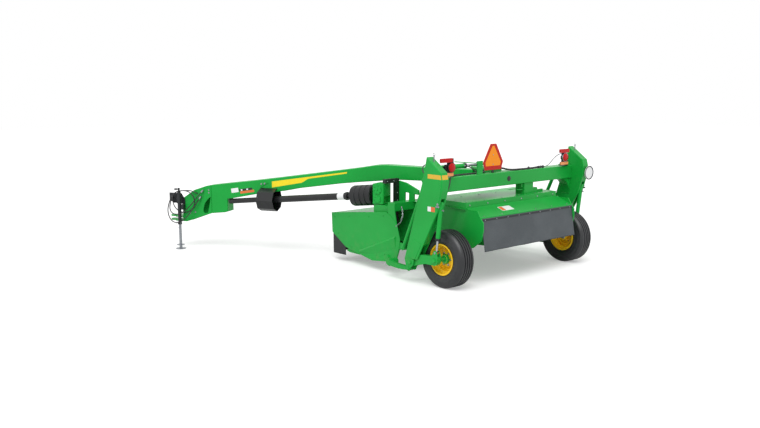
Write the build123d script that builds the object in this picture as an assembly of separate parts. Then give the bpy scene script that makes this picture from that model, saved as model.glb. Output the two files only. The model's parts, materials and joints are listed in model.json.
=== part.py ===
from build123d import *
import math
import os

# Trailed disc mower conditioner, side-pull, parked on its two wheels and its jack.
# Millimetres. The layout is worked out on the ground midway between the wheels:
# +X to the machine's right, +Y in the direction of travel, +Z up.
# Every piece is then moved so that the origin is the centre of the hitch pin.

# Running gear
TRACK = 2535.0
TYRE_RADIUS = 380.0
TYRE_WIDTH = 264.0
RIM_RADIUS = 194.0
RIM_WALL = 7.0
RIM_HALF = 115.0
RIM_FLANGE = 14.0
HUB_RADIUS = 62.0
SPINDLE_RADIUS = 24.0

# Working clearances
FIT = 0.3
SIDE_GAP = 5.0

# Main frame. The legs stand outside the tyres.
LEG_GAP = 20.5
LEG_INNER = TRACK / 2 + TYRE_WIDTH / 2 + LEG_GAP
LEG_WIDTH = 120.0
LEG_CORNER = 9.0
DOUBLER = 4.0
BEAM_REAR = 50.0
BEAM_FRONT = 250.0
BEAM_LOW = 1240.0
BEAM_HIGH = 1430.0
BEAM_CORNER = 12.0
GUSSET = 240.0
LAMP_INSET = 140.0

# Wheel arm pivot, axle and lift cylinder, in the side view of a leg (y, z)
ARM_PIVOT = (420.0, 300.0)
AXLE = (0.0, TYRE_RADIUS)
LINK_PIN = (455.0, 212.0)
LINK_END = (900.0, 218.0)
CYLINDER_TOP = (-85.0, 1125.0)
CYLINDER_EYE = (-15.0, 486.0)
ARM_WIDTH = 70.0
CHEEK = 16.0
PIN_RADIUS = 14.0
BARREL_RADIUS = 30.0
BARREL_LENGTH = 480.0
ROD_RADIUS = 16.0
ROD_LENGTH = 480.0
EYE_RADIUS = 30.0
EYE_WIDTH = 40.0

# Tongue: pivot place, angle to the left of forward, and section
PIVOT = (-150.0, 500.0)
TONGUE_ANGLE = 30.0
TONGUE_HALF = 100.0
BOSS_RADIUS = 95.0
BOSS_LOW = 1239.0
BOSS_HIGH = 1451.0
PLATE = 24.0
PIVOT_PIN_RADIUS = 30.0
CRANK_LENGTH = 260.0
CRANK_ANGLE = 15.0
CRANK_LOW = 1502.0
CRANK_THICK = 16.0
SWING_HIGH = 1541.0
SWING_INSET = 240.0
SWING_BASE_X = SWING_INSET - LEG_INNER
SWING_BARREL = 490.0
SWING_ROD_START = 280.0

# Hitch, along the tongue
HITCH_S = 5060.0
HITCH_Z = 485.0
HITCH_PIN_RADIUS = 16.5
CLEVIS_PLATE = 25.0
CLEVIS_GAP = 40.0
HEAD_PLATE = 12.0
INPUT_BACK = 360.0
INPUT_Z = 720.0
SPLINE_RADIUS = 17.5
JACK_S = 4850.0
JACK_W = -170.0
JACK_RADIUS = 28.0
JACK_LEG_RADIUS = 22.0
JACK_SLEEVE_LOW = 400.0
JACK_SLEEVE_HIGH = 930.0

# Header, between the legs
HEADER_GAP = 70.0
HEADER_HALF = LEG_INNER - HEADER_GAP
SHEET = 6.0
END_PLATE = 14.0
TUBE_REAR = 950.0
TUBE_FRONT = 1090.0
TUBE_LOW = 900.0
TUBE_HIGH = 1010.0
LID_HINGE = 1873.0
HINGE_INSET = 150.0
HINGE_RADIUS = 9.0
HINGE_PIN = 5.0
FIXED_LID = 750.0
LID_LEFT = FIXED_LID - HEADER_HALF
LID_RIGHT = HEADER_HALF - SHEET - SIDE_GAP
HINGES = (LID_LEFT + HINGE_INSET, (LID_LEFT + LID_RIGHT) / 2, LID_RIGHT - HINGE_INSET)
HEADER_FRONT = 2372.0
DISC_COUNT = 6
BAR_END = 150.0
DISC_PITCH = 2 * (HEADER_HALF - BAR_END) / DISC_COUNT
DISC_Y = 1850.0
BAR_TOP = 232.0
KNIFE_LAP = 50.0
KNIFE_REACH = DISC_PITCH / 2 + KNIFE_LAP
DISC_WAIST = 64.0
HOUSING_GAP = 165.5
HOUSING_HALF = TRACK / 2 - TYRE_WIDTH / 2 - HOUSING_GAP
HOOD_LOW = 1003.0
TRAY_FRONT = 500.0
TRAY_HIGH = 1085.0
ROTOR = (1130.0, 545.0)
ROTOR_REACH = 255.0

# Driveline
SWIVEL_INSET = 160.0
SWIVEL = (SWIVEL_INSET - HEADER_HALF, 1400.0, 1075.0)
STAND_HIGH = 945.0
HEAD_LOW = 953.0
HEAD_HIGH = 1236.0
HEAD_HALF = 90.0
HEAD_WIDE = 120.0
BELL_START = 120.0
COVER_LOW = 1245.0
COVER_HIGH = 1305.0
BEARING_S = 3257.0
BEARING_W = -110.0
BEARING_Z = 865.0
DRUM_REAR = 127.0
DRUM_FRONT = 150.0
DRUM_RADIUS = 165.0


def tongue_point(s, w, z):
    """A place s along the tongue from its pivot, w to its right and z above the ground."""
    a = math.radians(TONGUE_ANGLE)
    x = PIVOT[0] - s * math.sin(a) + w * math.cos(a)
    y = PIVOT[1] + s * math.cos(a) + w * math.sin(a)
    return Vector(x, y, z)


HITCH = tongue_point(HITCH_S, 0, HITCH_Z)
BEARING = tongue_point(BEARING_S, BEARING_W, BEARING_Z)
ANGLE = math.radians(TONGUE_ANGLE)
TONGUE_SIDE = Plane(
    origin=(PIVOT[0], PIVOT[1], 0),
    x_dir=(-math.sin(ANGLE), math.cos(ANGLE), 0),
    z_dir=(math.cos(ANGLE), math.sin(ANGLE), 0),
)
ACROSS = Plane(origin=(0, 0, 0), x_dir=(0, 1, 0), z_dir=(1, 0, 0))

pieces = {}


def outline(points):
    return make_face(Polyline(*points, close=True))


def rounded(points, radius):
    """A closed outline with all its corners rounded."""
    face = outline(points)
    return fillet(face.vertices(), radius)


def side_plate(face, x0, x1):
    """A face drawn in (y, z) made solid from x0 to x1."""
    return extrude(ACROSS.offset(x0) * face, amount=x1 - x0)


def side_prism(points, x0, x1):
    """A (y, z) outline made solid from x0 to x1."""
    plane = ACROSS.offset(x0)
    return extrude(plane * outline(points), amount=x1 - x0)


def tongue_prism(points, w0, w1):
    """An (s, z) outline made solid from w0 to w1 across the tongue."""
    plane = TONGUE_SIDE.offset(w0)
    return extrude(plane * outline(points), amount=w1 - w0)


def box(x0, x1, y0, y1, z0, z1):
    corner = Pos(min(x0, x1), min(y0, y1), z0)
    return corner * Box(abs(x1 - x0), abs(y1 - y0), z1 - z0, align=(Align.MIN,) * 3)


def rod(start, end, radius):
    """A round bar from start to end."""
    a = Vector(*start)
    b = Vector(*end)
    plane = Plane(origin=a, z_dir=b - a)
    return plane * Cylinder(radius, (b - a).length, align=(Align.CENTER, Align.CENTER, Align.MIN))


def x_rod(y, z, x0, x1, radius):
    return rod((min(x0, x1), y, z), (max(x0, x1), y, z), radius)


def disc(x, y, z0, z1, radius):
    return rod((x, y, z0), (x, y, z1), radius)


def mirrored(shape, side):
    return shape if side > 0 else mirror(shape, about=Plane.YZ)


# Frame beam with its end gussets
def main_beam():
    beam = box(-LEG_INNER, LEG_INNER, BEAM_REAR, BEAM_FRONT, BEAM_LOW, BEAM_HIGH)
    beam = fillet(beam.edges().filter_by(Axis.X), BEAM_CORNER)
    for side in (-1, 1):
        x = side * LEG_INNER
        inner = x - side * GUSSET
        low = BEAM_LOW - GUSSET
        y0, y1 = BEAM_REAR + 25, BEAM_FRONT - 25
        gusset = box(inner, x, y0, y1, low, BEAM_LOW)
        beam += gusset - rod((inner, y0 - 5, low), (inner, y1 + 5, low), GUSSET)
    post_x = -600.0
    beam += box(post_x - 50, post_x + 52, BEAM_REAR + 13, BEAM_REAR + 29, BEAM_HIGH, BEAM_HIGH + 180)
    y = BEAM_REAR + 21
    return beam + rod((post_x - 486, y, BEAM_HIGH + 198), (post_x, y, BEAM_HIGH + 148), 6)


LEG_SIDE = [
    (127, 1710), (-132, 1527), (-160, 1428), (-153, 1299), (-76, 1032),
    (291, 352), (530, 340), (198, 1397),
]


def leg():
    """The right leg: a tapering column, forked below for the wheel arm."""
    x0 = LEG_INNER
    x1 = LEG_INNER + LEG_WIDTH
    body = side_prism(LEG_SIDE, x0, x1)
    body = fillet(body.faces().filter_by(Axis.X).edges(), LEG_CORNER)
    slot = EYE_WIDTH / 2 + 12
    middle = (x0 + x1) / 2
    notch = [(-260, 1195), (-45, 1195), (-45, 1120), (60, 800), (-260, 800)]
    body -= side_prism(notch, middle - slot, middle + slot)
    y, z = ARM_PIVOT
    for a, b in ((x0, x0 + CHEEK), (x1 - CHEEK, x1)):
        cheek = x_rod(y, z, a, b, 60)
        cheek += x_rod(LINK_PIN[0], LINK_PIN[1], a, b, 34)
        cheek += side_prism([(y - 60, z), (y - 70, 345), (530, 345), (489, 212), (421, 212)], a, b)
        body += cheek
    room = [(100, 100), (600, 100), (600, 372), (440, 372), (400, 400), (300, 500), (150, 590), (100, 590)]
    room = side_prism(room, x0 + CHEEK, x1 - CHEEK)
    body -= room
    body += x_rod(y, z, x0 + 4, x1 - 4, PIN_RADIUS + 6)
    body += x_rod(LINK_PIN[0], LINK_PIN[1], x0 + 4, x1 - 4, PIN_RADIUS)
    body += x_rod(CYLINDER_TOP[0], CYLINDER_TOP[1], x0 + 4, x1 - 4, PIN_RADIUS)
    lug = side_prism([(150, 1345), (150, 1435), (290, 1435), (332, 1392), (300, 1345)], x0, x0 + CHEEK)
    doubler = rounded([(203, 577), (378, 627), (476, 372), (331, 350)], 22)
    body += side_plate(doubler, x1, x1 + DOUBLER)
    seam = ThreePointArc((-111, 1432), (-100, 1275), (0, 1124))
    edge = Polyline((0, 1124), (-72, 1052), (-140, 1300), (-146, 1424), (-111, 1432))
    return body + lug + side_plate(make_face(seam + edge), x1, x1 + DOUBLER)


def wheel_arm():
    """The right arm, from the leg's pivot back to the wheel's spindle."""
    x = LEG_INNER + LEG_WIDTH / 2
    x0 = x - ARM_WIDTH / 2
    x1 = x + ARM_WIDTH / 2
    y, z = ARM_PIVOT
    arm = x_rod(y, z, x0, x1, 52)
    side = rounded([(y + 10, z + 50), (250, 425), (150, 432), (-10, 440), (-60, 400), (-60, 360),
                    (-20, 322), (155, 318), (y - 30, z - 48)], 14)
    arm += side_plate(side, x0, x1)
    arm += x_rod(AXLE[0], AXLE[1], x0, x1, 62)
    ey, ez = CYLINDER_EYE
    lug_gap = EYE_WIDTH / 2 + SIDE_GAP
    for a, b in ((x - lug_gap - 10, x - lug_gap), (x + lug_gap, x + lug_gap + 10)):
        arm += side_prism([(ey - 55, 410), (ey - 34, ez), (ey - 16, ez + 30), (ey + 16, ez + 30),
                           (ey + 34, ez), (ey + 60, 420)], a, b)
    arm += x_rod(AXLE[0], AXLE[1], TRACK / 2 - 75, x, SPINDLE_RADIUS)
    arm -= x_rod(y, z, x0 - 5, x1 + 5, PIN_RADIUS + 6 + FIT)
    return arm


def tyre():
    half = TYRE_WIDTH / 2
    inner = RIM_RADIUS + FIT
    bead = RIM_HALF - RIM_WALL - FIT
    lip = RIM_RADIUS + RIM_FLANGE + FIT
    right = [(bead, inner), (bead, lip), (half, 270), (half, 326), (half - 38, TYRE_RADIUS)]
    left = [(-x, r) for x, r in reversed(right)]
    ring = revolve(outline(right + left), axis=Axis.X)
    return Pos(0, AXLE[0], AXLE[1]) * ring


def rim():
    """A deep dished disc wheel with its hub, outer side towards +X."""
    w = RIM_HALF
    r = RIM_RADIUS
    t = RIM_WALL
    top = r + RIM_FLANGE
    well = r - 26
    bore = SPINDLE_RADIUS + FIT
    section = [
        (-w, top), (-w + t, top), (-w + t, r), (-45, r), (-35, well), (35, well), (45, r), (w - t, r),
        (w - t, top), (w, top), (w, r - t), (50, r - t), (40, well - t), (0, well - t), (-20, 120),
        (20, 105), (20, HUB_RADIUS), (60, HUB_RADIUS - 8), (60, bore), (-70, bore), (-70, HUB_RADIUS),
        (12, HUB_RADIUS), (12, 98), (-28, 112), (-10, well - t), (-40, well - t), (-50, r - t), (-w, r - t),
    ]
    face = outline(section)
    return Pos(0, AXLE[0], AXLE[1]) * revolve(face, axis=Axis.X)


def lift_barrel():
    x = LEG_INNER + LEG_WIDTH / 2
    y, z = CYLINDER_TOP
    ey, ez = CYLINDER_EYE
    length = math.hypot(ey - y, ez - z)
    uy = (ey - y) / length
    uz = (ez - z) / length
    end = (x, y + uy * BARREL_LENGTH, z + uz * BARREL_LENGTH)
    barrel = rod((x, y, z), end, BARREL_RADIUS)
    barrel += x_rod(y, z, x - EYE_WIDTH / 2, x + EYE_WIDTH / 2, EYE_RADIUS + 2)
    barrel -= x_rod(y, z, x - 60, x + 60, PIN_RADIUS + FIT)
    deep = (x, y + uy * 52, z + uz * 52)
    past = (x, y + uy * (BARREL_LENGTH + 5), z + uz * (BARREL_LENGTH + 5))
    return barrel - rod(deep, past, ROD_RADIUS + FIT)


def lift_rod():
    x = LEG_INNER + LEG_WIDTH / 2
    y, z = CYLINDER_EYE
    ty, tz = CYLINDER_TOP
    length = math.hypot(ty - y, tz - z)
    start = (x, y + (ty - y) / length * ROD_LENGTH, z + (tz - z) / length * ROD_LENGTH)
    shaft = rod(start, (x, y, z), ROD_RADIUS)
    shaft += x_rod(y, z, x - EYE_WIDTH / 2, x + EYE_WIDTH / 2, EYE_RADIUS)
    stub = EYE_WIDTH / 2 + SIDE_GAP - FIT
    return shaft + x_rod(y, z, x - stub, x + stub, PIN_RADIUS)


def lower_link():
    x0 = LEG_INNER + CHEEK + FIT
    x1 = LEG_INNER + LEG_WIDTH - CHEEK - FIT
    y, z = LINK_PIN
    link = x_rod(y, z, x0, x1, 30)
    end_y, end_z = LINK_END
    bow = ThreePointArc((y, z + 28), (680, 226), (end_y, end_z + 40))
    front = Line((end_y, end_z + 40), (end_y, end_z - 38))
    belly = ThreePointArc((end_y, end_z - 38), (660, 166), (y, z - 28))
    rear = Line((y, z - 28), (y, z + 28))
    link += side_plate(make_face(bow + front + belly + rear), x0 + 18, x1 - 18)
    link -= x_rod(y, z, x0 - 5, x1 + 5, PIN_RADIUS + FIT)
    link += x_rod(end_y, end_z, HEADER_HALF, x1 - 18, 44)
    return link + x_rod(end_y, end_z, x1 - 60, x1 - 40, 58)


def float_tube():
    x = LEG_INNER - 35
    top = (x, BEAM_FRONT + 40, 1392)
    low = (x, 722, 428)
    tube = rod(top, low, 27)
    for p in (top, low):
        tube += x_rod(p[1], p[2], x - 20, x + 20, 32)
    tube += x_rod(top[1], top[2], x, LEG_INNER, 13)
    tube += x_rod(low[1], low[2], x, HEADER_HALF - SHEET, 13)
    return tube


def tongue_bracket():
    px, py = PIVOT
    back = box(px - 230, px + 200, BEAM_FRONT, BEAM_FRONT + PLATE, BOSS_LOW - SIDE_GAP - PLATE, 1480)
    bracket = back
    levels = ((BOSS_LOW - SIDE_GAP - PLATE, BOSS_LOW - SIDE_GAP), (BOSS_HIGH + SIDE_GAP, BOSS_HIGH + SIDE_GAP + PLATE))
    for low, high in levels:
        flat = outline([(px - 230, BEAM_FRONT), (px - 105, py + 20), (px + 105, py + 20), (px + 200, BEAM_FRONT)])
        plate = extrude(Plane.XY.offset(low) * flat, amount=high - low)
        plate += disc(px, py, low, high, 108)
        plate -= disc(px, py, low - 5, high + 5, PIVOT_PIN_RADIUS + FIT)
        bracket += plate
    return bracket


TONGUE_TOP = [
    (60, 1440), (800, 1446), (1370, 1463), (1520, 1453), (1790, 1405), (2410, 1313), (3080, 1215),
    (3600, 1141), (3780, 1119), (4300, 1050),
]
TONGUE_UNDER = [
    (4300, 596), (4060, 622), (4010, 640), (4010, 842), (3880, 862), (3617, 915), (3460, 945), (2997, 1012),
    (2735, 1065), (2075, 1160), (1755, 1196), (1441, 1226), (1250, 1250), (60, 1250),
]


def tongue_beam():
    half = TONGUE_HALF
    beam = tongue_prism(TONGUE_TOP + TONGUE_UNDER, -half, half)
    beam = fillet(beam.faces().filter_by(TONGUE_SIDE).edges(), BEAM_CORNER)
    px, py = PIVOT
    beam += disc(px, py, BOSS_LOW, BOSS_HIGH, BOSS_RADIUS)
    beam += disc(px, py, BOSS_LOW - SIDE_GAP - PLATE - 14, CRANK_LOW + 2, PIVOT_PIN_RADIUS)
    tail = math.radians(CRANK_ANGLE)
    cx = px + CRANK_LENGTH * math.sin(tail)
    cy = py - CRANK_LENGTH * math.cos(tail)
    high = CRANK_LOW + CRANK_THICK
    crank = disc(px, py, CRANK_LOW, high, 62) + disc(cx, cy, CRANK_LOW, high, 38)
    side = Vector(math.cos(tail), math.sin(tail), 0)
    corners = []
    for x, y, r in ((px, py, 62), (cx, cy, 38)):
        corners.append([(x + side.X * r, y + side.Y * r), (x - side.X * r, y - side.Y * r)])
    flat = outline([corners[0][0], corners[0][1], corners[1][1], corners[1][0]])
    crank += extrude(Plane.XY.offset(CRANK_LOW) * flat, amount=CRANK_THICK)
    return beam + crank


def crank_eye():
    tail = math.radians(CRANK_ANGLE)
    return (PIVOT[0] + CRANK_LENGTH * math.sin(tail), PIVOT[1] - CRANK_LENGTH * math.cos(tail))


def swing_barrel():
    ex, ey = crank_eye()
    end = SWING_BASE_X + SWING_BARREL
    barrel = rod((SWING_BASE_X, ey, SWING_HIGH), (end, ey, SWING_HIGH), 32)
    barrel += disc(SWING_BASE_X, ey, SWING_HIGH - 20, SWING_HIGH + 20, 34)
    barrel += disc(SWING_BASE_X, ey, BEAM_HIGH, SWING_HIGH, 16)
    barrel += box(SWING_BASE_X - 40, SWING_BASE_X + 40, BEAM_REAR + 90, ey + 45, BEAM_HIGH, BEAM_HIGH + 16)
    return barrel - rod((SWING_BASE_X + 60, ey, SWING_HIGH), (end + 5, ey, SWING_HIGH), ROD_RADIUS + FIT)


def swing_rod():
    ex, ey = crank_eye()
    shaft = rod((SWING_BASE_X + SWING_ROD_START, ey, SWING_HIGH), (ex, ey, SWING_HIGH), ROD_RADIUS)
    shaft += disc(ex, ey, SWING_HIGH - 18, SWING_HIGH + 18, EYE_RADIUS)
    return shaft + disc(ex, ey, CRANK_LOW + CRANK_THICK + FIT, SWING_HIGH, PIN_RADIUS)


HEAD_TOP = [(4300, 1050), (4381, 1034), (4606, 960), (4830, 813)]


def hitch_head():
    t = HEAD_PLATE
    side = HEAD_TOP + [(4830, 440), (4760, 440), (4460, 548), (4300, 596)]
    head = None
    for w in (-TONGUE_HALF, TONGUE_HALF - t):
        plate = tongue_prism(side, w, w + t)
        head = plate if head is None else head + plate
    window = ThreePointArc((4310, 860), (4425, 740), (4452, 620))
    window += Polyline((4452, 620), (4428, 590), (4368, 600))
    window += ThreePointArc((4368, 600), (4340, 710), (4310, 860))
    head -= extrude(TONGUE_SIDE.offset(-TONGUE_HALF - 5) * make_face(window), amount=t + 10)
    inside = [(max(s - 4, 4300), z - 14) for s, z in reversed(HEAD_TOP)]
    head += tongue_prism(HEAD_TOP + inside, -TONGUE_HALF, TONGUE_HALF)
    gap = CLEVIS_GAP / 2
    for z0, z1 in ((HITCH_Z - gap - CLEVIS_PLATE, HITCH_Z - gap), (HITCH_Z + gap, HITCH_Z + gap + CLEVIS_PLATE)):
        tab = tongue_prism([(4765, z0), (4765, z1), (HITCH_S, z1), (HITCH_S, z0)], -TONGUE_HALF, TONGUE_HALF)
        tab += disc(HITCH.X, HITCH.Y, z0, z1, 52)
        head += tab
    side = [(HITCH_S - 90, 300), (HITCH_S + 140, 300), (HITCH_S + 140, 700), (HITCH_S - 90, 700)]
    head -= tongue_prism(side, 52, 200)
    head -= tongue_prism(side, -200, -52)
    head -= disc(HITCH.X, HITCH.Y, 300, 700, HITCH_PIN_RADIUS)
    return head


def jack_place(z):
    return tongue_point(JACK_S, JACK_W, z)


def jack_sleeve():
    p = jack_place(0)
    sleeve = disc(p.X, p.Y, JACK_SLEEVE_LOW, JACK_SLEEVE_HIGH, JACK_RADIUS)
    rear = JACK_S - 70
    arm = tongue_prism([(rear, 640), (rear, 720), (JACK_S, 720), (JACK_S, 640)], JACK_W, -TONGUE_HALF)
    sleeve += arm
    sleeve += disc(p.X, p.Y, JACK_SLEEVE_HIGH, JACK_SLEEVE_HIGH + 35, 14)
    sleeve -= disc(p.X, p.Y, JACK_SLEEVE_LOW - 10, JACK_SLEEVE_HIGH - 30, JACK_LEG_RADIUS + FIT)
    a = tongue_point(JACK_S, JACK_W, JACK_SLEEVE_HIGH + 42)
    b = tongue_point(JACK_S, JACK_W - 120, JACK_SLEEVE_HIGH + 55)
    return sleeve + rod(a, b, 9) + disc(p.X, p.Y, JACK_SLEEVE_HIGH + 25, JACK_SLEEVE_HIGH + 60, 16)


def jack_leg():
    p = jack_place(0)
    leg_bar = disc(p.X, p.Y, 4, JACK_SLEEVE_LOW + 220, JACK_LEG_RADIUS)
    leg_bar += disc(p.X, p.Y, 0, 10, 78)
    return leg_bar + disc(p.X, p.Y, 62, 70, 62)


def shaft_point(d):
    a = Vector(*SWIVEL)
    u = (BEARING - a).normalized()
    return a + u * d


SHAFT_LENGTH = (BEARING - Vector(*SWIVEL)).length


def swivel_head():
    """A gear head facing along the shaft, with two covers on its outer side and a recess behind."""
    x, y, z = SWIVEL
    flat = Vector(BEARING.X - x, BEARING.Y - y, 0).normalized()
    base = Plane(origin=(x, y, HEAD_LOW), x_dir=flat, z_dir=(0, 0, 1))
    head = extrude(base * RectangleRounded(2 * HEAD_HALF, 2 * HEAD_WIDE, 25), amount=HEAD_HIGH - HEAD_LOW)
    head += disc(x, y, STAND_HIGH + FIT, HEAD_LOW, 90)
    out = base.y_dir
    for high, radius in ((1158, 64), (1022, 54)):
        centre = Vector(x, y, high)
        head += rod(centre, centre + out * (HEAD_WIDE + 12), radius)
    recess = extrude(base.offset(10) * Pos(-HEAD_HALF, 0) * Rectangle(80, 190), amount=95)
    return head - recess + rod(SWIVEL, shaft_point(BELL_START - 6), 62)


def swivel_guard():
    a = shaft_point(BELL_START)
    plane = Plane(origin=a, z_dir=shaft_point(BELL_START + 30) - a)
    rings = [(0, 20), (0, 136)]
    for i in range(4):
        h = 10 + i * 84
        rings += [(h, 150), (h + 56, 150), (h + 62, 141), (h + 78, 141)]
    rings += [(342, 141), (342, 134), (14, 127), (14, 20)]
    face = outline([(r, h) for h, r in rings])
    bell = revolve(Plane.XZ * face, axis=Axis.Z)
    bell = plane * bell
    return bell + rod(shaft_point(BELL_START - 6), shaft_point(1500), 33)


def telescoping_tube():
    outer = rod(shaft_point(560), shaft_point(SHAFT_LENGTH - 80), 50)
    outer -= rod(shaft_point(550), shaft_point(1640), 33 + FIT)
    return outer + rod(shaft_point(SHAFT_LENGTH - 81), shaft_point(SHAFT_LENGTH), 40)


def bearing_shield():
    """An eight-sided drum about the middle bearing, open to the rear."""
    start = tongue_point(BEARING_S - DRUM_REAR, BEARING_W, BEARING_Z)
    base = Plane(origin=start, x_dir=TONGUE_SIDE.z_dir, z_dir=TONGUE_SIDE.x_dir)
    length = DRUM_REAR + DRUM_FRONT
    outer = extrude(base * RegularPolygon(DRUM_RADIUS, 8, major_radius=False), amount=length)
    inner = extrude(base * RegularPolygon(DRUM_RADIUS - SHEET, 8, major_radius=False), amount=length - SHEET)
    shield = outer - inner
    keep_out = tongue_prism(TONGUE_TOP + TONGUE_UNDER, -TONGUE_HALF, TONGUE_HALF + 300)
    shield -= keep_out
    return shield


def front_shaft_guard():
    s = BEARING_S + DRUM_FRONT + FIT + 12
    collar = rod(tongue_point(s, BEARING_W, BEARING_Z), tongue_point(s + 40, BEARING_W, BEARING_Z), 50)
    a = tongue_point(s + 25, BEARING_W, BEARING_Z - 8)
    b = tongue_point(3982, BEARING_W + 60, 800)
    return collar + rod(a, b, 40)


def bearing_hanger():
    """The curved plate on the tongue's side that carries the middle bearing."""
    front = BEARING_S + DRUM_FRONT + FIT
    a = tongue_point(front, BEARING_W, BEARING_Z)
    b = tongue_point(front + 12, BEARING_W, BEARING_Z)
    plate = rod(a, b, 126)
    plate -= tongue_prism(TONGUE_TOP + TONGUE_UNDER, -TONGUE_HALF, TONGUE_HALF + 300)
    side = Polyline((front - 130, 1126), (front, 1136))
    side += ThreePointArc((front, 1136), (front + 16, 1030), (front + 62, 922))
    side += Polyline((front + 62, 922), (front, 922), (front, 1052))
    side += ThreePointArc((front, 1052), (front - 48, 1084), (front - 130, 1126))
    return plate + extrude(TONGUE_SIDE.offset(-TONGUE_HALF - 10) * make_face(side), amount=10)


def input_yoke():
    """The drive input: a splined sleeve beside the hitch, seen as a plain bore."""
    s = HITCH_S - INPUT_BACK
    inner = TONGUE_HALF - HEAD_PLATE
    sleeve = rod(tongue_point(s, 0, INPUT_Z), tongue_point(s + 100, 0, INPUT_Z), 34)
    sleeve += tongue_prism([(s - 10, 560), (s - 10, 800), (s + 5, 800), (s + 5, 560)], -inner, inner)
    return sleeve - rod(tongue_point(s + 20, 0, INPUT_Z), tongue_point(s + 110, 0, INPUT_Z), SPLINE_RADIUS)


HOSE_RADIUS = 8.0
HOSES = {
    "hose_long": [
        (4500, -138, 820), (4570, -165, 710), (4645, -200, 590), (4740, -220, 480), (4870, -225, 420),
        (4990, -215, 460), (5060, -190, 570), (5070, -160, 700), (5040, -128, 800),
    ],
    "hose_short": [
        (4460, -138, 930), (4550, -150, 830), (4650, -185, 700), (4770, -215, 590), (4890, -230, 560),
        (4990, -215, 600), (5030, -180, 700), (5015, -135, 810),
    ],
}


def hose_holder():
    """The plate beside the hitch that the hoses' free ends are parked in."""
    tip = HITCH_S + 10
    plate = [(tip - 290, 725), (tip - 290, 800), (tip - 220, 900), (tip, 900), (tip, 770), (tip - 160, 725)]
    holder = tongue_prism(plate, -TONGUE_HALF - 8, -TONGUE_HALF)
    for points in HOSES.values():
        holder += hose_end(points[-1], points[-2], -TONGUE_HALF - 4)
    return holder


def hose_fittings():
    fittings = []
    for points in HOSES.values():
        fittings.append(Solid(hose_end(points[0], points[1], -TONGUE_HALF).solid().wrapped))
    return Compound(children=fittings)


def hose_end(point, inward, wall_w):
    """A coupling in line with the hose's end, on a block that reaches the wall at wall_w."""
    a = tongue_point(*point)
    u = (a - tongue_point(*inward)).normalized()
    tip = a + u * 55
    s = point[0] + (point[0] - inward[0]) * 30 / (a - tongue_point(*inward)).length
    z = point[2] + (point[2] - inward[2]) * 30 / (a - tongue_point(*inward)).length
    w = point[1] + (point[1] - inward[1]) * 30 / (a - tongue_point(*inward)).length
    block = tongue_prism([(s - 11, z - 11), (s + 11, z - 11), (s + 11, z + 11), (s - 11, z + 11)], w, wall_w)
    return rod(a, tip, 10) + block


def cord(points):
    corners = [tongue_point(*p) for p in points]
    radii = []
    for before, at, after in zip(corners, corners[1:], corners[2:]):
        turn = math.radians((at - before).get_angle(after - at))
        shorter = min((at - before).length, (after - at).length)
        radii.append(0.45 * shorter / math.tan(turn / 2))
    print("cord radii", [round(r) for r in radii])
    path = FilletPolyline(*corners, radius=radii)
    start = Plane(origin=corners[0], z_dir=corners[1] - corners[0])
    tube = sweep(start * Circle(HOSE_RADIUS), path=path)
    expected = math.pi * HOSE_RADIUS ** 2 * path.length
    print("cord length", round(path.length), "volume ratio", round(tube.volume / expected, 4))
    return tube


def deck_height(y):
    """Top surface of the header's deck and lid at y."""
    return 867 - 0.119 * (y - 1123)


def header_frame():
    inner = HEADER_HALF - SHEET
    frame = box(-inner, inner, TUBE_REAR, TUBE_FRONT, TUBE_LOW, TUBE_HIGH)
    end = [(905, 235), (1430, 170), (2050, 262), (2050, 690), (1600, 760), (1090, 820), (1090, 900),
           (950, 900), (905, 700), (860, 480), (700, 470), (690, 400), (850, 380)]
    for side in (-1, 1):
        frame += side_prism(end, side * inner, side * (inner - END_PLATE))
    return frame


SHIELD = [(2372, 722), (1123, 871), (1020, 822), (893, 717), (830, 516), (859, 367), (911, 190),
          (1427, 132), (2028, 237), (2357, 426)]
SHIELD_BOSS = (1080, 190)


def side_shields():
    shields = []
    for side in (-1, 1):
        sheet = side_prism(SHIELD, side * (HEADER_HALF - SHEET), side * HEADER_HALF)
        y, z = SHIELD_BOSS
        sheet += x_rod(y, z + 40, side * (HEADER_HALF - SHEET), side * (HEADER_HALF + 22), 38)
        shields.append(sheet)
    return Compound(children=[Solid(s.solid().wrapped) for s in shields])


def header_deck():
    inner = HEADER_HALF - SHEET - END_PLATE
    y0, y1 = TUBE_FRONT, LID_HINGE - 3
    top = [(y0, deck_height(y0)), (y1, deck_height(y1)), (y1, deck_height(y1) - SHEET), (y0, deck_height(y0) - SHEET)]
    deck = side_prism(top, -inner, inner)
    y2 = HEADER_FRONT - SHEET
    front = [(y1, deck_height(y1)), (HEADER_FRONT, deck_height(HEADER_FRONT)), (HEADER_FRONT, 640), (y2, 640),
             (y2, deck_height(y2) - SHEET), (y1, deck_height(y1) - SHEET)]
    deck += side_prism(front, -inner - END_PLATE, LID_LEFT - SIDE_GAP)
    y, z = lid_axis()
    for x in HINGES:
        for a, b in ((x - 45, x - 16), (x + 16, x + 45)):
            deck += x_rod(y, z, a, b, HINGE_RADIUS)
            deck += box(a, b, y - 24, y - 3, deck_height(y) - 3, z)
        deck += x_rod(y, z, x - 30, x + 30, HINGE_PIN)
    return deck


def lid_axis():
    return LID_HINGE, deck_height(LID_HINGE) + 10


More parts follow.
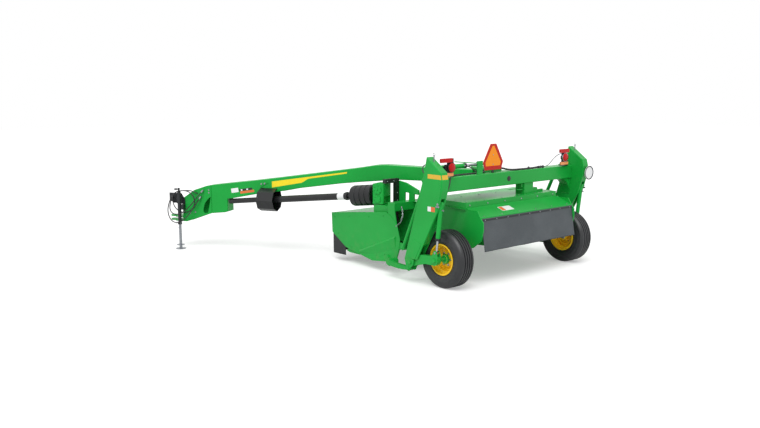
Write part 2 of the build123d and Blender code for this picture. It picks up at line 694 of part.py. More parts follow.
def front_lid():
    y1 = LID_HINGE + 3
    y2 = HEADER_FRONT - SHEET
    front = [(y1, deck_height(y1)), (HEADER_FRONT, deck_height(HEADER_FRONT)), (HEADER_FRONT, 640), (y2, 640),
             (y2, deck_height(y2) - SHEET), (y1, deck_height(y1) - SHEET)]
    lid = side_prism(front, LID_LEFT, HEADER_HALF - SHEET - SIDE_GAP)
    y, z = lid_axis()
    for x in HINGES:
        lid += x_rod(y, z, x - 15, x + 15, HINGE_RADIUS)
        lid += box(x - 15, x + 15, y + 3, y + 24, deck_height(y) - 5, z)
        lid -= x_rod(y, z, x - 16, x + 16, HINGE_PIN + FIT)
    return lid


def front_curtain():
    y = HEADER_FRONT - SHEET
    return box(LID_LEFT + 4, HEADER_HALF - SHEET - SIDE_GAP - 4, y - 5, y, 110, 700)


def end_curtain():
    y = HEADER_FRONT - SHEET
    left = -(HEADER_HALF - SHEET)
    front = box(left, LID_LEFT - SIDE_GAP - 4, y - 5, y, 110, 700)
    side = side_prism([(2052, 110), (y - 5, 110), (y - 5, 700), (2052, 650)], left, left + 5)
    return front + side


def cutter_bar():
    y = DISC_Y
    profile = [(y - 160, 172), (y - 160, 214), (y - 110, BAR_TOP), (y + 110, BAR_TOP), (y + 162, 206),
               (y + 180, 184), (y + 125, 168), (y - 110, 164)]
    inner = HEADER_HALF - SHEET - END_PLATE
    return side_prism(profile, -inner, inner)


def disc_x(i):
    return (i - (DISC_COUNT - 1) / 2) * DISC_PITCH


def cutter_disc(i):
    x = disc_x(i)
    body = disc(0, 0, 0, 34, 62)
    half = DISC_PITCH / 2
    oval = extrude(Plane.XY.offset(20) * Ellipse(half, half - DISC_WAIST), amount=24)
    body += oval
    body += disc(0, 0, 34, 62, 70)
    for side in (-1, 1):
        knife = box(side * (KNIFE_REACH - 100), side * KNIFE_REACH, -24, 24, 14, 20)
        body += knife
    turn = 90 * (i % 2)
    return Pos(x, DISC_Y, BAR_TOP + FIT) * Rot(0, 0, turn) * body


def skid_shoes():
    y = DISC_Y
    profile = [(y - 110, 164), (y + 125, 168), (y + 125, 152), (y + 50, 140), (y - 150, 140), (y - 150, 155)]
    shoes = []
    for i in range(DISC_COUNT):
        x = disc_x(i)
        shoes.append(Solid(side_prism(profile, x - 90, x + 90).solid().wrapped))
    return Compound(children=shoes)


def tine_rotor():
    y, z = ROTOR
    half = HOUSING_HALF - 10 - FIT
    rotor = x_rod(y, z, -half, half, 28)
    rotor += x_rod(y, z, -half + 20, half - 20, 88)
    rows = 14
    for k in range(rows):
        x = -half + 70 + k * (2 * half - 140) / (rows - 1)
        points = []
        for t in range(6):
            base = math.radians(60 * t + 30 * (k % 2))
            for r, off in ((86, -0.16), (ROTOR_REACH, -0.03), (ROTOR_REACH, 0.05), (86, 0.16)):
                points.append((y + r * math.cos(base + off), z + r * math.sin(base + off)))
        rotor += side_prism(points, x - 7, x + 7)
    return rotor


PANEL = [(-240, 1003), (-300, 912), (-345, 860), (-350, 760), (-320, 620), (-180, 510), (150, 390),
         (1000, 330), (1280, 420), (1280, 832), (1088, 855), (1088, 896), (946, 896), (946, 1003)]


def conditioner_housing():
    inner = HOUSING_HALF - 10
    body = side_prism(PANEL, inner, HOUSING_HALF)
    body += side_prism(PANEL, -HOUSING_HALF, -inner)
    for side in (-1, 1):
        outer = side * (HOUSING_HALF + DOUBLER)
        lap = side_prism(PANEL, side * HOUSING_HALF, outer)
        body += lap & x_rod(-300, 470, side * HOUSING_HALF, outer, 560)
    body += box(-HOUSING_HALF - 30, HOUSING_HALF + 30, -44, TUBE_REAR, HOOD_LOW, HOOD_LOW + SHEET)
    return body


def rear_hood():
    """The sloping sheet over the swath's outlet, folded up into the raised tray ahead of it."""
    inner = HOUSING_HALF - 10
    low = HOOD_LOW + SHEET
    back = [(-44, low), (-44, HOOD_LOW), (-297, 914), (-297, 880), (-303, 880), (-303, 918), (-46, low + SHEET)]
    tray = [(-20, low + SHEET), (-20, TRAY_HIGH), (TRAY_FRONT, TRAY_HIGH), (TRAY_FRONT, low),
            (TRAY_FRONT - SHEET, low), (TRAY_FRONT - SHEET, TRAY_HIGH - SHEET), (-20 + SHEET, TRAY_HIGH - SHEET),
            (-20 + SHEET, low)]
    hood = side_prism(back + tray, -inner, inner)
    end = [(-20, low), (TRAY_FRONT, low), (TRAY_FRONT, TRAY_HIGH), (-20, TRAY_HIGH)]
    return hood + side_prism(end, -inner, SHEET - inner) + side_prism(end, inner - SHEET, inner)


def rear_curtain():
    inner = HOUSING_HALF - 14
    return side_prism([(-303, 905), (-309, 905), (-366, 480), (-360, 480)], -inner, inner)


def swath_boards():
    boards = []
    wide = HOUSING_HALF - 84
    narrow = wide - 180
    high = TUBE_HIGH + 90
    above = [(-160, 957), (-44, HOOD_LOW), (530, HOOD_LOW), (530, high), (-160, high)]
    for side in (-1, 1):
        flat = outline([(side * (wide - SHEET), 520), (side * wide, 520), (side * narrow, -150),
                        (side * (narrow - SHEET), -150)])
        board = extrude(Plane.XY.offset(500) * flat, amount=TUBE_HIGH - 500)
        board -= side_prism(above, -HEADER_HALF, HEADER_HALF)
        boards.append(Solid(board.solid().wrapped))
    return Compound(children=boards)


def gear_stand():
    x, y, z = SWIVEL
    y0, y1 = TUBE_FRONT, y + 45
    foot = [(y0, deck_height(y0)), (y1, deck_height(y1)), (y1, STAND_HIGH), (y0, STAND_HIGH)]
    stand = side_prism(foot, x - 110, x + 215)
    edge = y - 122
    brace = [(edge, STAND_HIGH - 50), (edge, 1268), (edge - 156, 1250), (866, 1165), (871, 1102),
             (TUBE_REAR + 10, 1106), (TUBE_REAR + 10, TUBE_HIGH), (TUBE_FRONT - 30, TUBE_HIGH),
             (TUBE_FRONT - 30, 1112), (edge - 128, 1118), (edge - 128, STAND_HIGH - 50)]
    return stand + side_prism(brace, x + 215, x + 240)


def drive_cover():
    x, y, z = SWIVEL
    y0, y1 = y - 136, y - 76
    cover = box(x + 150, x + 213, y0, y1, STAND_HIGH, COVER_HIGH)
    return cover + box(x - 47, x + 213, y0, y1, COVER_LOW, COVER_HIGH)


def centre_hanger():
    """A channel from the beam down to the tray, with a block and a bar beside it."""
    low = TRAY_HIGH
    left, right = 345.0, 540.0
    y0, y1 = BEAM_REAR + 20, BEAM_FRONT - 20
    hanger = box(left, right, y0, y0 + 8, low, BEAM_LOW)
    hanger += box(left, left + 8, y0, y1, low, BEAM_LOW) + box(right - 8, right, y0, y1, low, BEAM_LOW)
    hanger += box(right, right + 120, y0 + 20, y0 + 90, low, low + 70)
    hanger += box(right + 120, right + 270, y0 + 40, y0 + 70, low, low + 34)
    hanger += disc(right + 270, y0 + 55, low, low + 34, 15)
    hanger += box(left - 45, left, y0 + 20, y0 + 34, low + 95, low + 145)
    return hanger + x_rod(y0 + 27, low + 65, left - 135, left, 8)


def tail_lamps():
    """Red boards facing the rear at the beam's ends, each with a round lens over a reflector strip."""
    lamps = []
    for side in (-1, 1):
        middle = side * (LEG_INNER - LAMP_INSET)
        low = BEAM_HIGH + 60
        board = box(middle - 130, middle + 130, 20, 26, low, low + 200)
        board += rod((middle, 20, low + 115), (middle, -12, low + 115), 62)
        board += box(middle - 110, middle + 110, 12, 20, low + 5, low + 40)
        foot = box(middle - 40, middle + 40, BEAM_REAR, BEAM_REAR + 110, BEAM_HIGH, BEAM_HIGH + SHEET)
        foot += box(middle - 40, middle + 40, BEAM_REAR, BEAM_REAR + SHEET, BEAM_HIGH, low + 120)
        board += box(middle - 40, middle + 40, 26, BEAM_REAR, low + 60, low + 120)
        lamps.append(Solid((board + foot).solid().wrapped))
    return Compound(children=lamps)


def slow_sign():
    w = 203.0
    h = 356.0
    cut = 40.0
    x = -300.0
    z = 1470.0
    tri = outline([(x - w, z + 20), (x - w + 20, z), (x + w - 20, z), (x + w, z + 20),
                   (x + cut / 2, z + h), (x - cut / 2, z + h)])
    sign = extrude(Plane.XZ.offset(-100) * tri, amount=-3)
    return sign + box(x - 20, x + 20, 103, 109, BEAM_HIGH, 1700)


def round_sign():
    x = LEG_INNER + 80
    sign = rod((x, -206, 1330), (x, -200, 1330), 102)
    return sign + box(x - 20, x + 20, -200, -155.5, 1320, 1340)


def build():
    pieces["main_beam"] = main_beam()
    for name, make in (("leg", leg), ("wheel_arm", wheel_arm), ("lift_barrel", lift_barrel), ("lift_rod", lift_rod)):
        for side_name, side in (("left", -1), ("right", 1)):
            pieces[f"{side_name}_{name}"] = mirrored(make(), side)
    for side_name, side in (("left", -1), ("right", 1)):
        pieces[f"{side_name}_tyre"] = mirrored(Pos(TRACK / 2, 0, 0) * tyre(), side)
        pieces[f"{side_name}_rim"] = mirrored(Pos(TRACK / 2, 0, 0) * rim(), side)
        pieces[f"{side_name}_lower_link"] = mirrored(lower_link(), side)
        pieces[f"{side_name}_float_tube"] = mirrored(float_tube(), side)
    pieces["tongue_bracket"] = tongue_bracket()
    pieces["tongue_beam"] = tongue_beam()
    pieces["swing_barrel"] = swing_barrel()
    pieces["swing_rod"] = swing_rod()
    pieces["hitch_head"] = hitch_head()
    pieces["jack_sleeve"] = jack_sleeve()
    pieces["jack_leg"] = jack_leg()
    pieces["input_yoke"] = input_yoke()
    pieces["hose_holder"] = hose_holder()
    pieces["hose_fittings"] = hose_fittings()
    for name, points in HOSES.items():
        pieces[name] = cord(points)
    pieces["swivel_head"] = swivel_head()
    pieces["swivel_guard"] = swivel_guard()
    pieces["telescoping_tube"] = telescoping_tube()
    pieces["bearing_shield"] = bearing_shield()
    pieces["bearing_hanger"] = bearing_hanger()
    pieces["front_shaft_guard"] = front_shaft_guard()
    pieces["header_frame"] = header_frame()
    pieces["side_shields"] = side_shields()
    pieces["header_deck"] = header_deck()
    pieces["front_lid"] = front_lid()
    pieces["front_curtain"] = front_curtain()
    pieces["end_curtain"] = end_curtain()
    pieces["cutter_bar"] = cutter_bar()
    for i in range(DISC_COUNT):
        pieces[f"cutter_disc_{i + 1}"] = cutter_disc(i)
    pieces["skid_shoes"] = skid_shoes()
    pieces["tine_rotor"] = tine_rotor()
    pieces["conditioner_housing"] = conditioner_housing()
    pieces["rear_hood"] = rear_hood()
    pieces["rear_curtain"] = rear_curtain()
    pieces["swath_boards"] = swath_boards()
    pieces["gear_stand"] = gear_stand()
    pieces["drive_cover"] = drive_cover()
    pieces["centre_hanger"] = centre_hanger()
    pieces["tail_lamps"] = tail_lamps()
    pieces["slow_sign"] = slow_sign()
    pieces["round_sign"] = round_sign()


build()
os.makedirs("parts", exist_ok=True)
for name, shape in pieces.items():
    export_step(Pos(-HITCH.X, -HITCH.Y, -HITCH.Z) * shape, f"parts/{name}.step")
print(len(pieces), "pieces; hitch pin at", HITCH)
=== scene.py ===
# %% [markdown]
# A trailed disc mower conditioner, dressed for its picture.
# The hard pieces come in as a fixed frame: they are at their real size and place already.
# This lesson gives each of them a finish, and models what a workshop adds last: tyres, rubber
# curtains, hoses, bolts, welds, lamps, signs and stripes.

# %% Load the frame
import bmesh
import bpy
import json
import math
import numpy as np
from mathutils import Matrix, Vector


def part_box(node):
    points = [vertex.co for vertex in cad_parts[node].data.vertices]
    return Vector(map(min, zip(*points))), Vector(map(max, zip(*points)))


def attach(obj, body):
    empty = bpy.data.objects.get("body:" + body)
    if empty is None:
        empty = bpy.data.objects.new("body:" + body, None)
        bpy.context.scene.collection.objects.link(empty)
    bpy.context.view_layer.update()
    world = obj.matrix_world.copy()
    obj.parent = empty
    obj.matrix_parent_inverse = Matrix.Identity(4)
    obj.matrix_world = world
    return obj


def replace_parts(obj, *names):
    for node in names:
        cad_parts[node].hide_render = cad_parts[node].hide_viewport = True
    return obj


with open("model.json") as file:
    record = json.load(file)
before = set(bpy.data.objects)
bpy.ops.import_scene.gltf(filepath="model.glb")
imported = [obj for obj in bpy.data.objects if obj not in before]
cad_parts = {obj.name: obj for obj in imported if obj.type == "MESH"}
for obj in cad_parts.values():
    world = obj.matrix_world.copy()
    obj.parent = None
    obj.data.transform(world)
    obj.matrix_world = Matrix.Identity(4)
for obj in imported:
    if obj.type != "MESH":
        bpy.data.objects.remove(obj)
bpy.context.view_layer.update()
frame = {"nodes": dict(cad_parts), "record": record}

# %% [markdown]
# Everything is measured in metres from the hitch pin, because that is the part's own origin.
# A machine is easier to think about from the ground midway between its wheels, and its tongue
# is easier to think about along its own length. So small functions turn such places into the
# frame's. The ground, the wheels and the tongue's pivot that they start from are read from it.

# %% Places on the machine and on the tongue
RIMS = {side: np.array(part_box(f"{side}_rim")) for side in ("left", "right")}
TYRES = {side: np.array(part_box(f"{side}_tyre")) for side in ("left", "right")}
GROUND = TYRES["left"][0, 2]
MIDDLE = (RIMS["left"].mean(axis=0) + RIMS["right"].mean(axis=0)) / 2
DATUM = np.array([MIDDLE[0], MIDDLE[1], GROUND])
JOINTS = {joint["name"]: joint for joint in frame["record"]["behaviour"]["joints"]}
PIVOT = np.array(JOINTS["tongue_swing"]["pos_m"])
ALONG = -PIVOT * [1, 1, 0] / np.linalg.norm(PIVOT[:2])
ACROSS = np.array([ALONG[1], -ALONG[0], 0.0])
UP = np.array([0.0, 0.0, 1.0])
RIGHT = np.array([1.0, 0.0, 0.0])
FORWARD = np.array([0.0, 1.0, 0.0])
OUTWARD = {"left": -RIGHT, "right": RIGHT}


def at(x, y, z):
    """Datum + (x, y, z): x to the machine's right, y forward, z above the ground."""
    return DATUM + np.stack(np.broadcast_arrays(x, y, z), axis=-1)


def on_ground(place):
    """The place, taken straight down to the ground."""
    return place * [1, 1, 0] + GROUND * UP


def on_tongue(s, w, z):
    """Pivot, taken down to the ground, + s along the tongue + w to its right + z up."""
    s, w, z = (np.asarray(value, float)[..., None] for value in (s, w, z))
    return on_ground(PIVOT) + s * ALONG + w * ACROSS + z * UP


print("datum", DATUM.round(3), "tongue along", ALONG.round(3))

# %% [markdown]
# The camera comes first, since it decides what is worth modelling finely. The photograph was
# taken from the rear left, from above head height. A pinhole camera has only a place, two
# angles and a focal length, so those are written down and nothing else is tuned.

# %% Camera
PHOTO_WIDTH = 760
FOCAL_PIXELS = 800
SENSOR = 36.0
CAMERA_PLACE = (-8.58, -7.17, 2.575)
CAMERA_HEADING = math.radians(40.65)
CAMERA_DIP = math.radians(8.95)
CAMERA_FAR = 200

camera = bpy.data.objects.new("camera", bpy.data.cameras.new("camera"))
camera.data.sensor_width = SENSOR
camera.data.lens = SENSOR * FOCAL_PIXELS / PHOTO_WIDTH
camera.data.clip_end = CAMERA_FAR
camera.location = at(*CAMERA_PLACE)
camera.rotation_euler = (math.pi / 2 - CAMERA_DIP, 0, -CAMERA_HEADING)
bpy.context.scene.collection.objects.link(camera)
bpy.context.scene.camera = camera
print("lens", round(camera.data.lens, 2), "mm")

# %% [markdown]
# A finish is a small network of nodes. Wiring it by hand hides the idea, so one class wraps a
# socket: sums, differences and products of it add the Math nodes that they need. A second class
# holds the material, and its method `node` adds any node from its type, its settings and what
# goes into its sockets.

# %% Shader maths as plain expressions
class Value:
    """A number or colour on its way through a material."""

    def __init__(self, finish, socket):
        self.finish = finish
        self.socket = socket

    def math(self, operation, other, swapped=False):
        first, second = (other, self) if swapped else (self, other)
        return self.finish.node("ShaderNodeMath", {"operation": operation}, {0: first, 1: second})

    def __add__(self, other):
        return self.math("ADD", other)

    def __sub__(self, other):
        return self.math("SUBTRACT", other)

    def __rsub__(self, other):
        return self.math("SUBTRACT", other, swapped=True)

    def __mul__(self, other):
        return self.math("MULTIPLY", other)

    def step(self, low, high):
        """0 below low, 1 above high, and a smooth S between them."""
        return self.finish.node("ShaderNodeMapRange", {"interpolation_type": "SMOOTHSTEP"},
                                {0: self, 1: low, 2: high})


class Finish:
    """A material being put together."""

    def __init__(self, name):
        self.material = bpy.data.materials.new(name)
        self.material.use_nodes = True
        self.tree = self.material.node_tree
        self.tree.nodes.clear()
        self.place = self.node("ShaderNodeTexCoord", out="Object")

    def node(self, kind, settings=None, inputs=None, out=0):
        made = self.tree.nodes.new(kind)
        for key, setting in (settings or {}).items():
            setattr(made, key, setting)
        for key, value in (inputs or {}).items():
            if isinstance(value, Value):
                self.tree.links.new(value.socket, made.inputs[key])
            else:
                made.inputs[key].default_value = value
        return Value(self, made.outputs[out])

    def noise(self, scale, detail):
        inputs = {"Vector": self.place, "Scale": scale, "Detail": detail}
        return self.node("ShaderNodeTexNoise", None, inputs)

    def mix(self, factor, first, second):
        """The first colour where factor is 0, the second where it is 1. A Mix node's colour
        sockets are its 6th and 7th, and its colour comes out of the 2nd."""
        inputs = {0: factor, 6: first, 7: second}
        return self.node("ShaderNodeMix", {"data_type": "RGBA"}, inputs, out=2)

    def height(self):
        """Metres above the ground."""
        return self.node("ShaderNodeSeparateXYZ", None, {0: self.place}, out="Z") - float(GROUND)

    def surface(self, relief, depth, edge=0.0, **sockets):
        """Ends the network: relief is a height from 0 to 1, depth metres deep, edge a worn radius."""
        bump = {"Height": relief, "Distance": depth, "Strength": 1.0}
        if edge:
            bump["Normal"] = self.node("ShaderNodeBevel", {"samples": 6}, {"Radius": edge})
        inputs = {key.replace("_", " "): value for key, value in sockets.items()}
        inputs["Normal"] = self.node("ShaderNodeBump", None, bump)
        return self.end(self.node("ShaderNodeBsdfPrincipled", None, inputs))

    def end(self, shader):
        output = self.tree.nodes.new("ShaderNodeOutputMaterial")
        self.tree.links.new(shader.socket, output.inputs["Surface"])
        return self.material


def rgba(red, green, blue):
    """A colour as it is on a screen, 0 to 255, turned to the linear light that shaders use."""
    share = np.array([red, green, blue]) / 255
    linear = np.where(share <= 0.04045, share / 12.92, ((share + 0.055) / 1.055) ** 2.4)
    return (*(float(value) for value in linear), 1.0)


# %% [markdown]
# Sprayed paint on a new machine is never one flat colour. It drifts slightly in tone from panel
# to panel, has the fine orange peel of the spray, gathers a breath of dust near the ground, and
# rounds off at each folded edge, where it catches the light. A clear coat gives the sharp
# reflection over the softer one of the pigment.

# %% Paint
DUST = rgba(150, 138, 112)
PEEL_DEPTH = 0.00025
EDGE = 0.004


def paint(name, colour, deeper, tint, coat=0.15, rough=0.36):
    finish = Finish(name)
    cloud = finish.noise(1.3, 3).step(0.3, 0.7)
    grime = finish.noise(9, 5).step(0.42, 0.8) * (1 - finish.height().step(0.1, 0.7))
    tone = finish.mix(cloud * 0.7, colour, deeper)
    base = finish.mix(grime * 0.16, tone, DUST)
    roughness = finish.noise(34, 4) * 0.08 + grime * 0.2 + (rough - 0.04)
    peel = finish.noise(230, 1) * 0.7 + finish.noise(700, 1) * 0.3
    return finish.surface(peel, PEEL_DEPTH, EDGE, Base_Color=base, Roughness=roughness, Coat_Weight=coat,
                          Coat_Roughness=0.08, Specular_Tint=tint)


GREEN = paint("green_paint", rgba(26, 166, 64), rgba(20, 150, 54), (0.25, 0.9, 0.4, 1))
YELLOW = paint("yellow_paint", rgba(255, 206, 36), rgba(250, 192, 26), (1, 0.8, 0.2, 1))
DARK = paint("dark_steel", rgba(34, 36, 38), rgba(26, 28, 30), (0.8, 0.85, 0.9, 1), coat=0.1, rough=0.42)
print("paints", GREEN.name, YELLOW.name, DARK.name)

# %% [markdown]
# Rubber is dark but not black: it scatters light in a broad, dusty sheen. Tyres keep fine
# moulding pores, and curtains are calendered sheet with a cloth grain pressed into them. Moulded
# plastic guards are blacker and smoother, with the fine spark-eroded grain of their tool.

# %% Rubber and plastic
def rubber(name, colour, dusty, grain, depth):
    finish = Finish(name)
    cloud = finish.noise(5, 4).step(0.35, 0.75)
    dust = (1 - finish.height().step(0.0, 0.5)) * finish.noise(28, 5).step(0.4, 0.75)
    base = finish.mix(cloud * 0.5 + dust * 0.35, colour, dusty)
    pores = finish.noise(grain, 3)
    return finish.surface(pores, depth, 0.003, Base_Color=base, Roughness=finish.noise(60, 3) * 0.16 + 0.34,
                          Specular_IOR_Level=0.6)


def woven_rubber(name, colour, dusty):
    finish = Finish(name)
    wave = {"wave_type": "BANDS", "bands_direction": "X"}
    inputs = {"Vector": finish.place, "Scale": 130, "Distortion": 0.4}
    warp = finish.node("ShaderNodeTexWave", wave, inputs)
    weft = finish.node("ShaderNodeTexWave", {**wave, "bands_direction": "Z"}, inputs)
    smear = finish.noise(3, 5).step(0.35, 0.7)
    base = finish.mix(smear * 0.6, colour, dusty)
    return finish.surface(warp * weft, 0.0006, Base_Color=base, Roughness=finish.noise(40, 3) * 0.15 + 0.46)


def plastic(name, colour, lighter):
    finish = Finish(name)
    base = finish.mix(finish.noise(4, 4).step(0.4, 0.7) * 0.6, colour, lighter)
    return finish.surface(finish.noise(900, 2), 0.00012, 0.003, Base_Color=base,
                          Roughness=finish.noise(50, 3) * 0.14 + 0.28, Specular_IOR_Level=0.5)


TYRE = rubber("tyre_rubber", rgba(27, 28, 31), rgba(52, 54, 57), 420, 0.0003)
HOSE = rubber("hose_rubber", rgba(26, 27, 29), rgba(44, 45, 47), 600, 0.0002)
CURTAIN = woven_rubber("black_rubber", rgba(70, 76, 80), rgba(86, 92, 96))
# The front and end curtains wear this darker copy of the curtain rubber. It is painted shade, because the end
# curtain stands in shadow.
SHADED_CURTAIN = woven_rubber("painted_shade_rubber", rgba(26, 27, 29), rgba(38, 39, 42))
PLASTIC = plastic("black_plastic", rgba(20, 21, 23), rgba(36, 39, 42))
print("rubber", TYRE.name, HOSE.name, CURTAIN.name, PLASTIC.name)

# %% [markdown]
# Bare metals differ in what was done to them: a chromed rod is polished, zinc plate has a faint
# spangle and machined steel is duller. One function makes all three, from cells of spangle and a
# fine grain of scratches in the sizes of each. All are fully metallic, so their colour is the
# colour of what they reflect.

# %% Metals
def metal(name, colour, tint, grain, rough):
    finish = Finish(name)
    inputs = {"Vector": finish.place, "Scale": grain}
    spangle = finish.node("ShaderNodeTexVoronoi", None, inputs, out="Distance")
    base = finish.mix(spangle.step(0.1, 0.6), colour, tint)
    scratch = finish.noise(grain * 4, 4)
    return finish.surface(scratch, 0.0001, 0.0015, Base_Color=base, Roughness=scratch * 0.14 + rough,
                          Metallic=1.0)


CHROME = metal("chrome_rod", rgba(205, 207, 211), rgba(188, 190, 195), 60, 0.06)
ZINC = metal("zinc_steel", rgba(176, 179, 182), rgba(150, 154, 160), 90, 0.26)
STEEL = metal("bare_steel", rgba(160, 161, 163), rgba(138, 139, 142), 120, 0.3)
print("metals", CHROME.name, ZINC.name, STEEL.name)

# %% [markdown]
# Lamps and signs are not plain colours either. A reflector is a moulded plate of small corner
# cubes under a smooth face, so it glints in cells; here a fine grid of small square hollows
# stands for them. Decals are thin vinyl: satin, very even, with a slight print grain.

# %% Lamps, signs and decals
def reflector(name, colour, brighter, cell=260):
    finish = Finish(name)
    cells = finish.node("ShaderNodeTexVoronoi", {"distance": "CHEBYCHEV"},
                        {"Vector": finish.place, "Scale": cell, "Randomness": 0.0}, out="Distance")
    base = finish.mix(cells.step(0.1, 0.55), brighter, colour)
    return finish.surface(cells, 0.0004, Base_Color=base, Roughness=finish.noise(80, 2) * 0.1 + 0.16,
                          Coat_Weight=0.3, Coat_Roughness=0.06, Specular_Tint=colour)


def vinyl(name, colour, faded):
    finish = Finish(name)
    base = finish.mix(finish.noise(14, 4).step(0.4, 0.75) * 0.5, colour, faded)
    return finish.surface(finish.noise(1200, 1), 0.00005, Base_Color=base,
                          Roughness=finish.noise(70, 3) * 0.12 + 0.3)


RED_LENS = reflector("red_lens", rgba(176, 12, 18), rgba(204, 26, 26))
AMBER = reflector("amber_reflector", rgba(238, 142, 78), rgba(248, 176, 118))
ORANGE = reflector("orange_panel", rgba(252, 146, 16), rgba(255, 168, 36), 420)
RED_BORDER = reflector("red_border", rgba(184, 18, 10), rgba(202, 34, 18), 420)
WHITE = vinyl("white_panel", rgba(236, 237, 238), rgba(222, 224, 226))
STRIPE = vinyl("yellow_stripe", rgba(248, 222, 20), rgba(240, 210, 18))
LABEL = vinyl("label_orange", rgba(226, 112, 54), rgba(214, 102, 48))
TAPE = vinyl("amber_tape", rgba(226, 182, 52), rgba(214, 168, 44))
BLACK_VINYL = vinyl("black_vinyl", rgba(24, 24, 25), rgba(36, 36, 38))
print("signs", RED_LENS.name, AMBER.name, ORANGE.name, WHITE.name)

# %% [markdown]
# Each hard piece names a material slot in its record. Going through that list dresses all of
# them at once, and no piece can be forgotten. The finishes that only new pieces wear belong to
# the slot of the same kind.

# %% Dress the hard pieces
SLOTS = {
    "green_paint": GREEN, "yellow_paint": YELLOW, "dark_steel": DARK, "tyre_rubber": TYRE,
    "black_rubber": CURTAIN, "black_plastic": PLASTIC, "chrome_rod": CHROME, "zinc_steel": ZINC,
    "bare_steel": STEEL, "red_lens": RED_LENS, "orange_panel": ORANGE, "white_panel": WHITE,
}
SLOT_OF = {material.name: slot for slot, material in SLOTS.items()}
SLOT_OF |= {
    "hose_rubber": "black_rubber", "painted_shade_rubber": "black_rubber", "black_vinyl": "black_plastic",
    "amber_reflector": "orange_panel", "label_orange": "orange_panel", "amber_tape": "orange_panel",
    "red_border": "red_lens", "yellow_stripe": "yellow_paint",
}


def dress(node, material):
    materials = frame["nodes"][node].data.materials
    if not materials:
        materials.append(material)
    for index in range(len(materials)):
        materials[index] = material


for piece in frame["record"]["subparts"]:
    dress(piece["node"], SLOTS[piece["material_slot"]])

# %% [markdown]
# Studio light for a machine is broad and soft. The world gives an even grey fill, one sun with
# a very wide disc gives the long soft shadow, and the floor is pale. What the camera, glass and
# gloss see of the world is plain white, which is what turns grazing paint pale.

# %% Light and floor
FILL = 0.62
SUN_POWER = 1.9
SUN_WIDTH = math.radians(40)
SUN_TURN = (math.radians(38), 0, math.radians(-52))
FLOOR_SIZE = 90
FLOOR_DOWN = 0.001
FLOOR_LIFT = 0.34
PAPER = (0.80, 0.80, 0.80, 1), (0.82, 0.82, 0.82, 1)

world = bpy.data.worlds.new("studio")
world.use_nodes = True
nodes, links = world.node_tree.nodes, world.node_tree.links
nodes.clear()
path = nodes.new("ShaderNodeLightPath")
seen = nodes.new("ShaderNodeMath")
seen.operation = "MAXIMUM"
glossy = nodes.new("ShaderNodeMath")
glossy.operation = "MAXIMUM"
links.new(path.outputs["Is Camera Ray"], seen.inputs[0])
links.new(glossy.outputs[0], seen.inputs[1])
links.new(path.outputs["Is Glossy Ray"], glossy.inputs[0])
links.new(path.outputs["Is Transmission Ray"], glossy.inputs[1])
fill, white = (nodes.new("ShaderNodeBackground") for _ in range(2))
fill.inputs["Strength"].default_value = FILL
fill.inputs["Color"].default_value = (1, 1, 1, 1)
white.inputs["Color"].default_value = (1, 1, 1, 1)
choice = nodes.new("ShaderNodeMixShader")
links.new(seen.outputs[0], choice.inputs[0])
links.new(fill.outputs[0], choice.inputs[1])
links.new(white.outputs[0], choice.inputs[2])
links.new(choice.outputs[0], nodes.new("ShaderNodeOutputWorld").inputs["Surface"])
bpy.context.scene.world = world
bpy.context.scene.view_settings.view_transform = "Standard"

sun = bpy.data.objects.new("sun", bpy.data.lights.new("sun", "SUN"))
sun.data.energy = SUN_POWER
sun.data.angle = SUN_WIDTH
sun.rotation_euler = SUN_TURN
bpy.context.scene.collection.objects.link(sun)


def pale_floor():
    """Diffuse paper that keeps shadows, lifted for the camera alone until it meets the white world."""
    finish = Finish("pale_floor")
    tone = finish.mix(finish.noise(0.4, 2) * 0.5, *PAPER)
    paper = finish.node("ShaderNodeBsdfDiffuse", None, {"Color": tone})
    lift = finish.node("ShaderNodeEmission", None, {"Strength": FLOOR_LIFT})
    both = finish.node("ShaderNodeAddShader", None, {0: paper, 1: lift})
    seen_by = finish.node("ShaderNodeLightPath", out="Is Camera Ray")
    return finish.end(finish.node("ShaderNodeMixShader", None, {0: seen_by, 1: paper, 2: both}))


floor_mesh = bpy.data.meshes.new("floor")
corners = np.array([[-1, -1, 0], [1, -1, 0], [1, 1, 0], [-1, 1, 0]]) * FLOOR_SIZE / 2
floor_mesh.from_pydata((DATUM + corners - FLOOR_DOWN * UP).tolist(), [], [[0, 1, 2, 3]])
floor_mesh.materials.append(pale_floor())
floor = bpy.data.objects.new("floor", floor_mesh)
bpy.context.scene.collection.objects.link(floor)
print("fill", FILL, "sun", SUN_POWER)

# %% [markdown]
# Every new piece is a surface worked out with numpy. A shape is a pair: an array of points and
# a list of faces. Three makers cover most of the machine: a lathe turns a profile round an axis,
# a sweep carries a profile along a path, and a prism gives an outline some thickness. The lathe's
# profiles are in millimetres, as on a turner's drawing.

# %% Surfaces from arrays
MM = 0.001


def grid_faces(rows, columns, close_rows, close_columns):
    """Quads between neighbouring rows and columns of a grid, wrapping round where it closes."""
    i, j = np.meshgrid(np.arange(rows if close_rows else rows - 1),
                       np.arange(columns if close_columns else columns - 1), indexing="ij")
    i, j = i.ravel(), j.ravel()
    up, over = (i + 1) % rows, (j + 1) % columns
    return np.stack([i * columns + j, up * columns + j, up * columns + over, i * columns + over], axis=1)


def beside(axis):
    """The axis as a unit vector, and two more that are square to it and to each other."""
    axis = np.asarray(axis, float) / np.linalg.norm(axis)
    guide = UP if abs(axis[2]) < 0.9 else RIGHT
    side = np.cross(guide, axis)
    side /= np.linalg.norm(side)
    return axis, side, np.cross(axis, side)


def around(centre, radius, count, axis, start=0.0):
    """Centre + radius (cos a, sin a) square to the axis, at even angles a from start."""
    axis, side, other = beside(axis)
    angle = start + np.arange(count) * 2 * math.pi / count
    return centre + radius * (np.cos(angle)[:, None] * side + np.sin(angle)[:, None] * other)


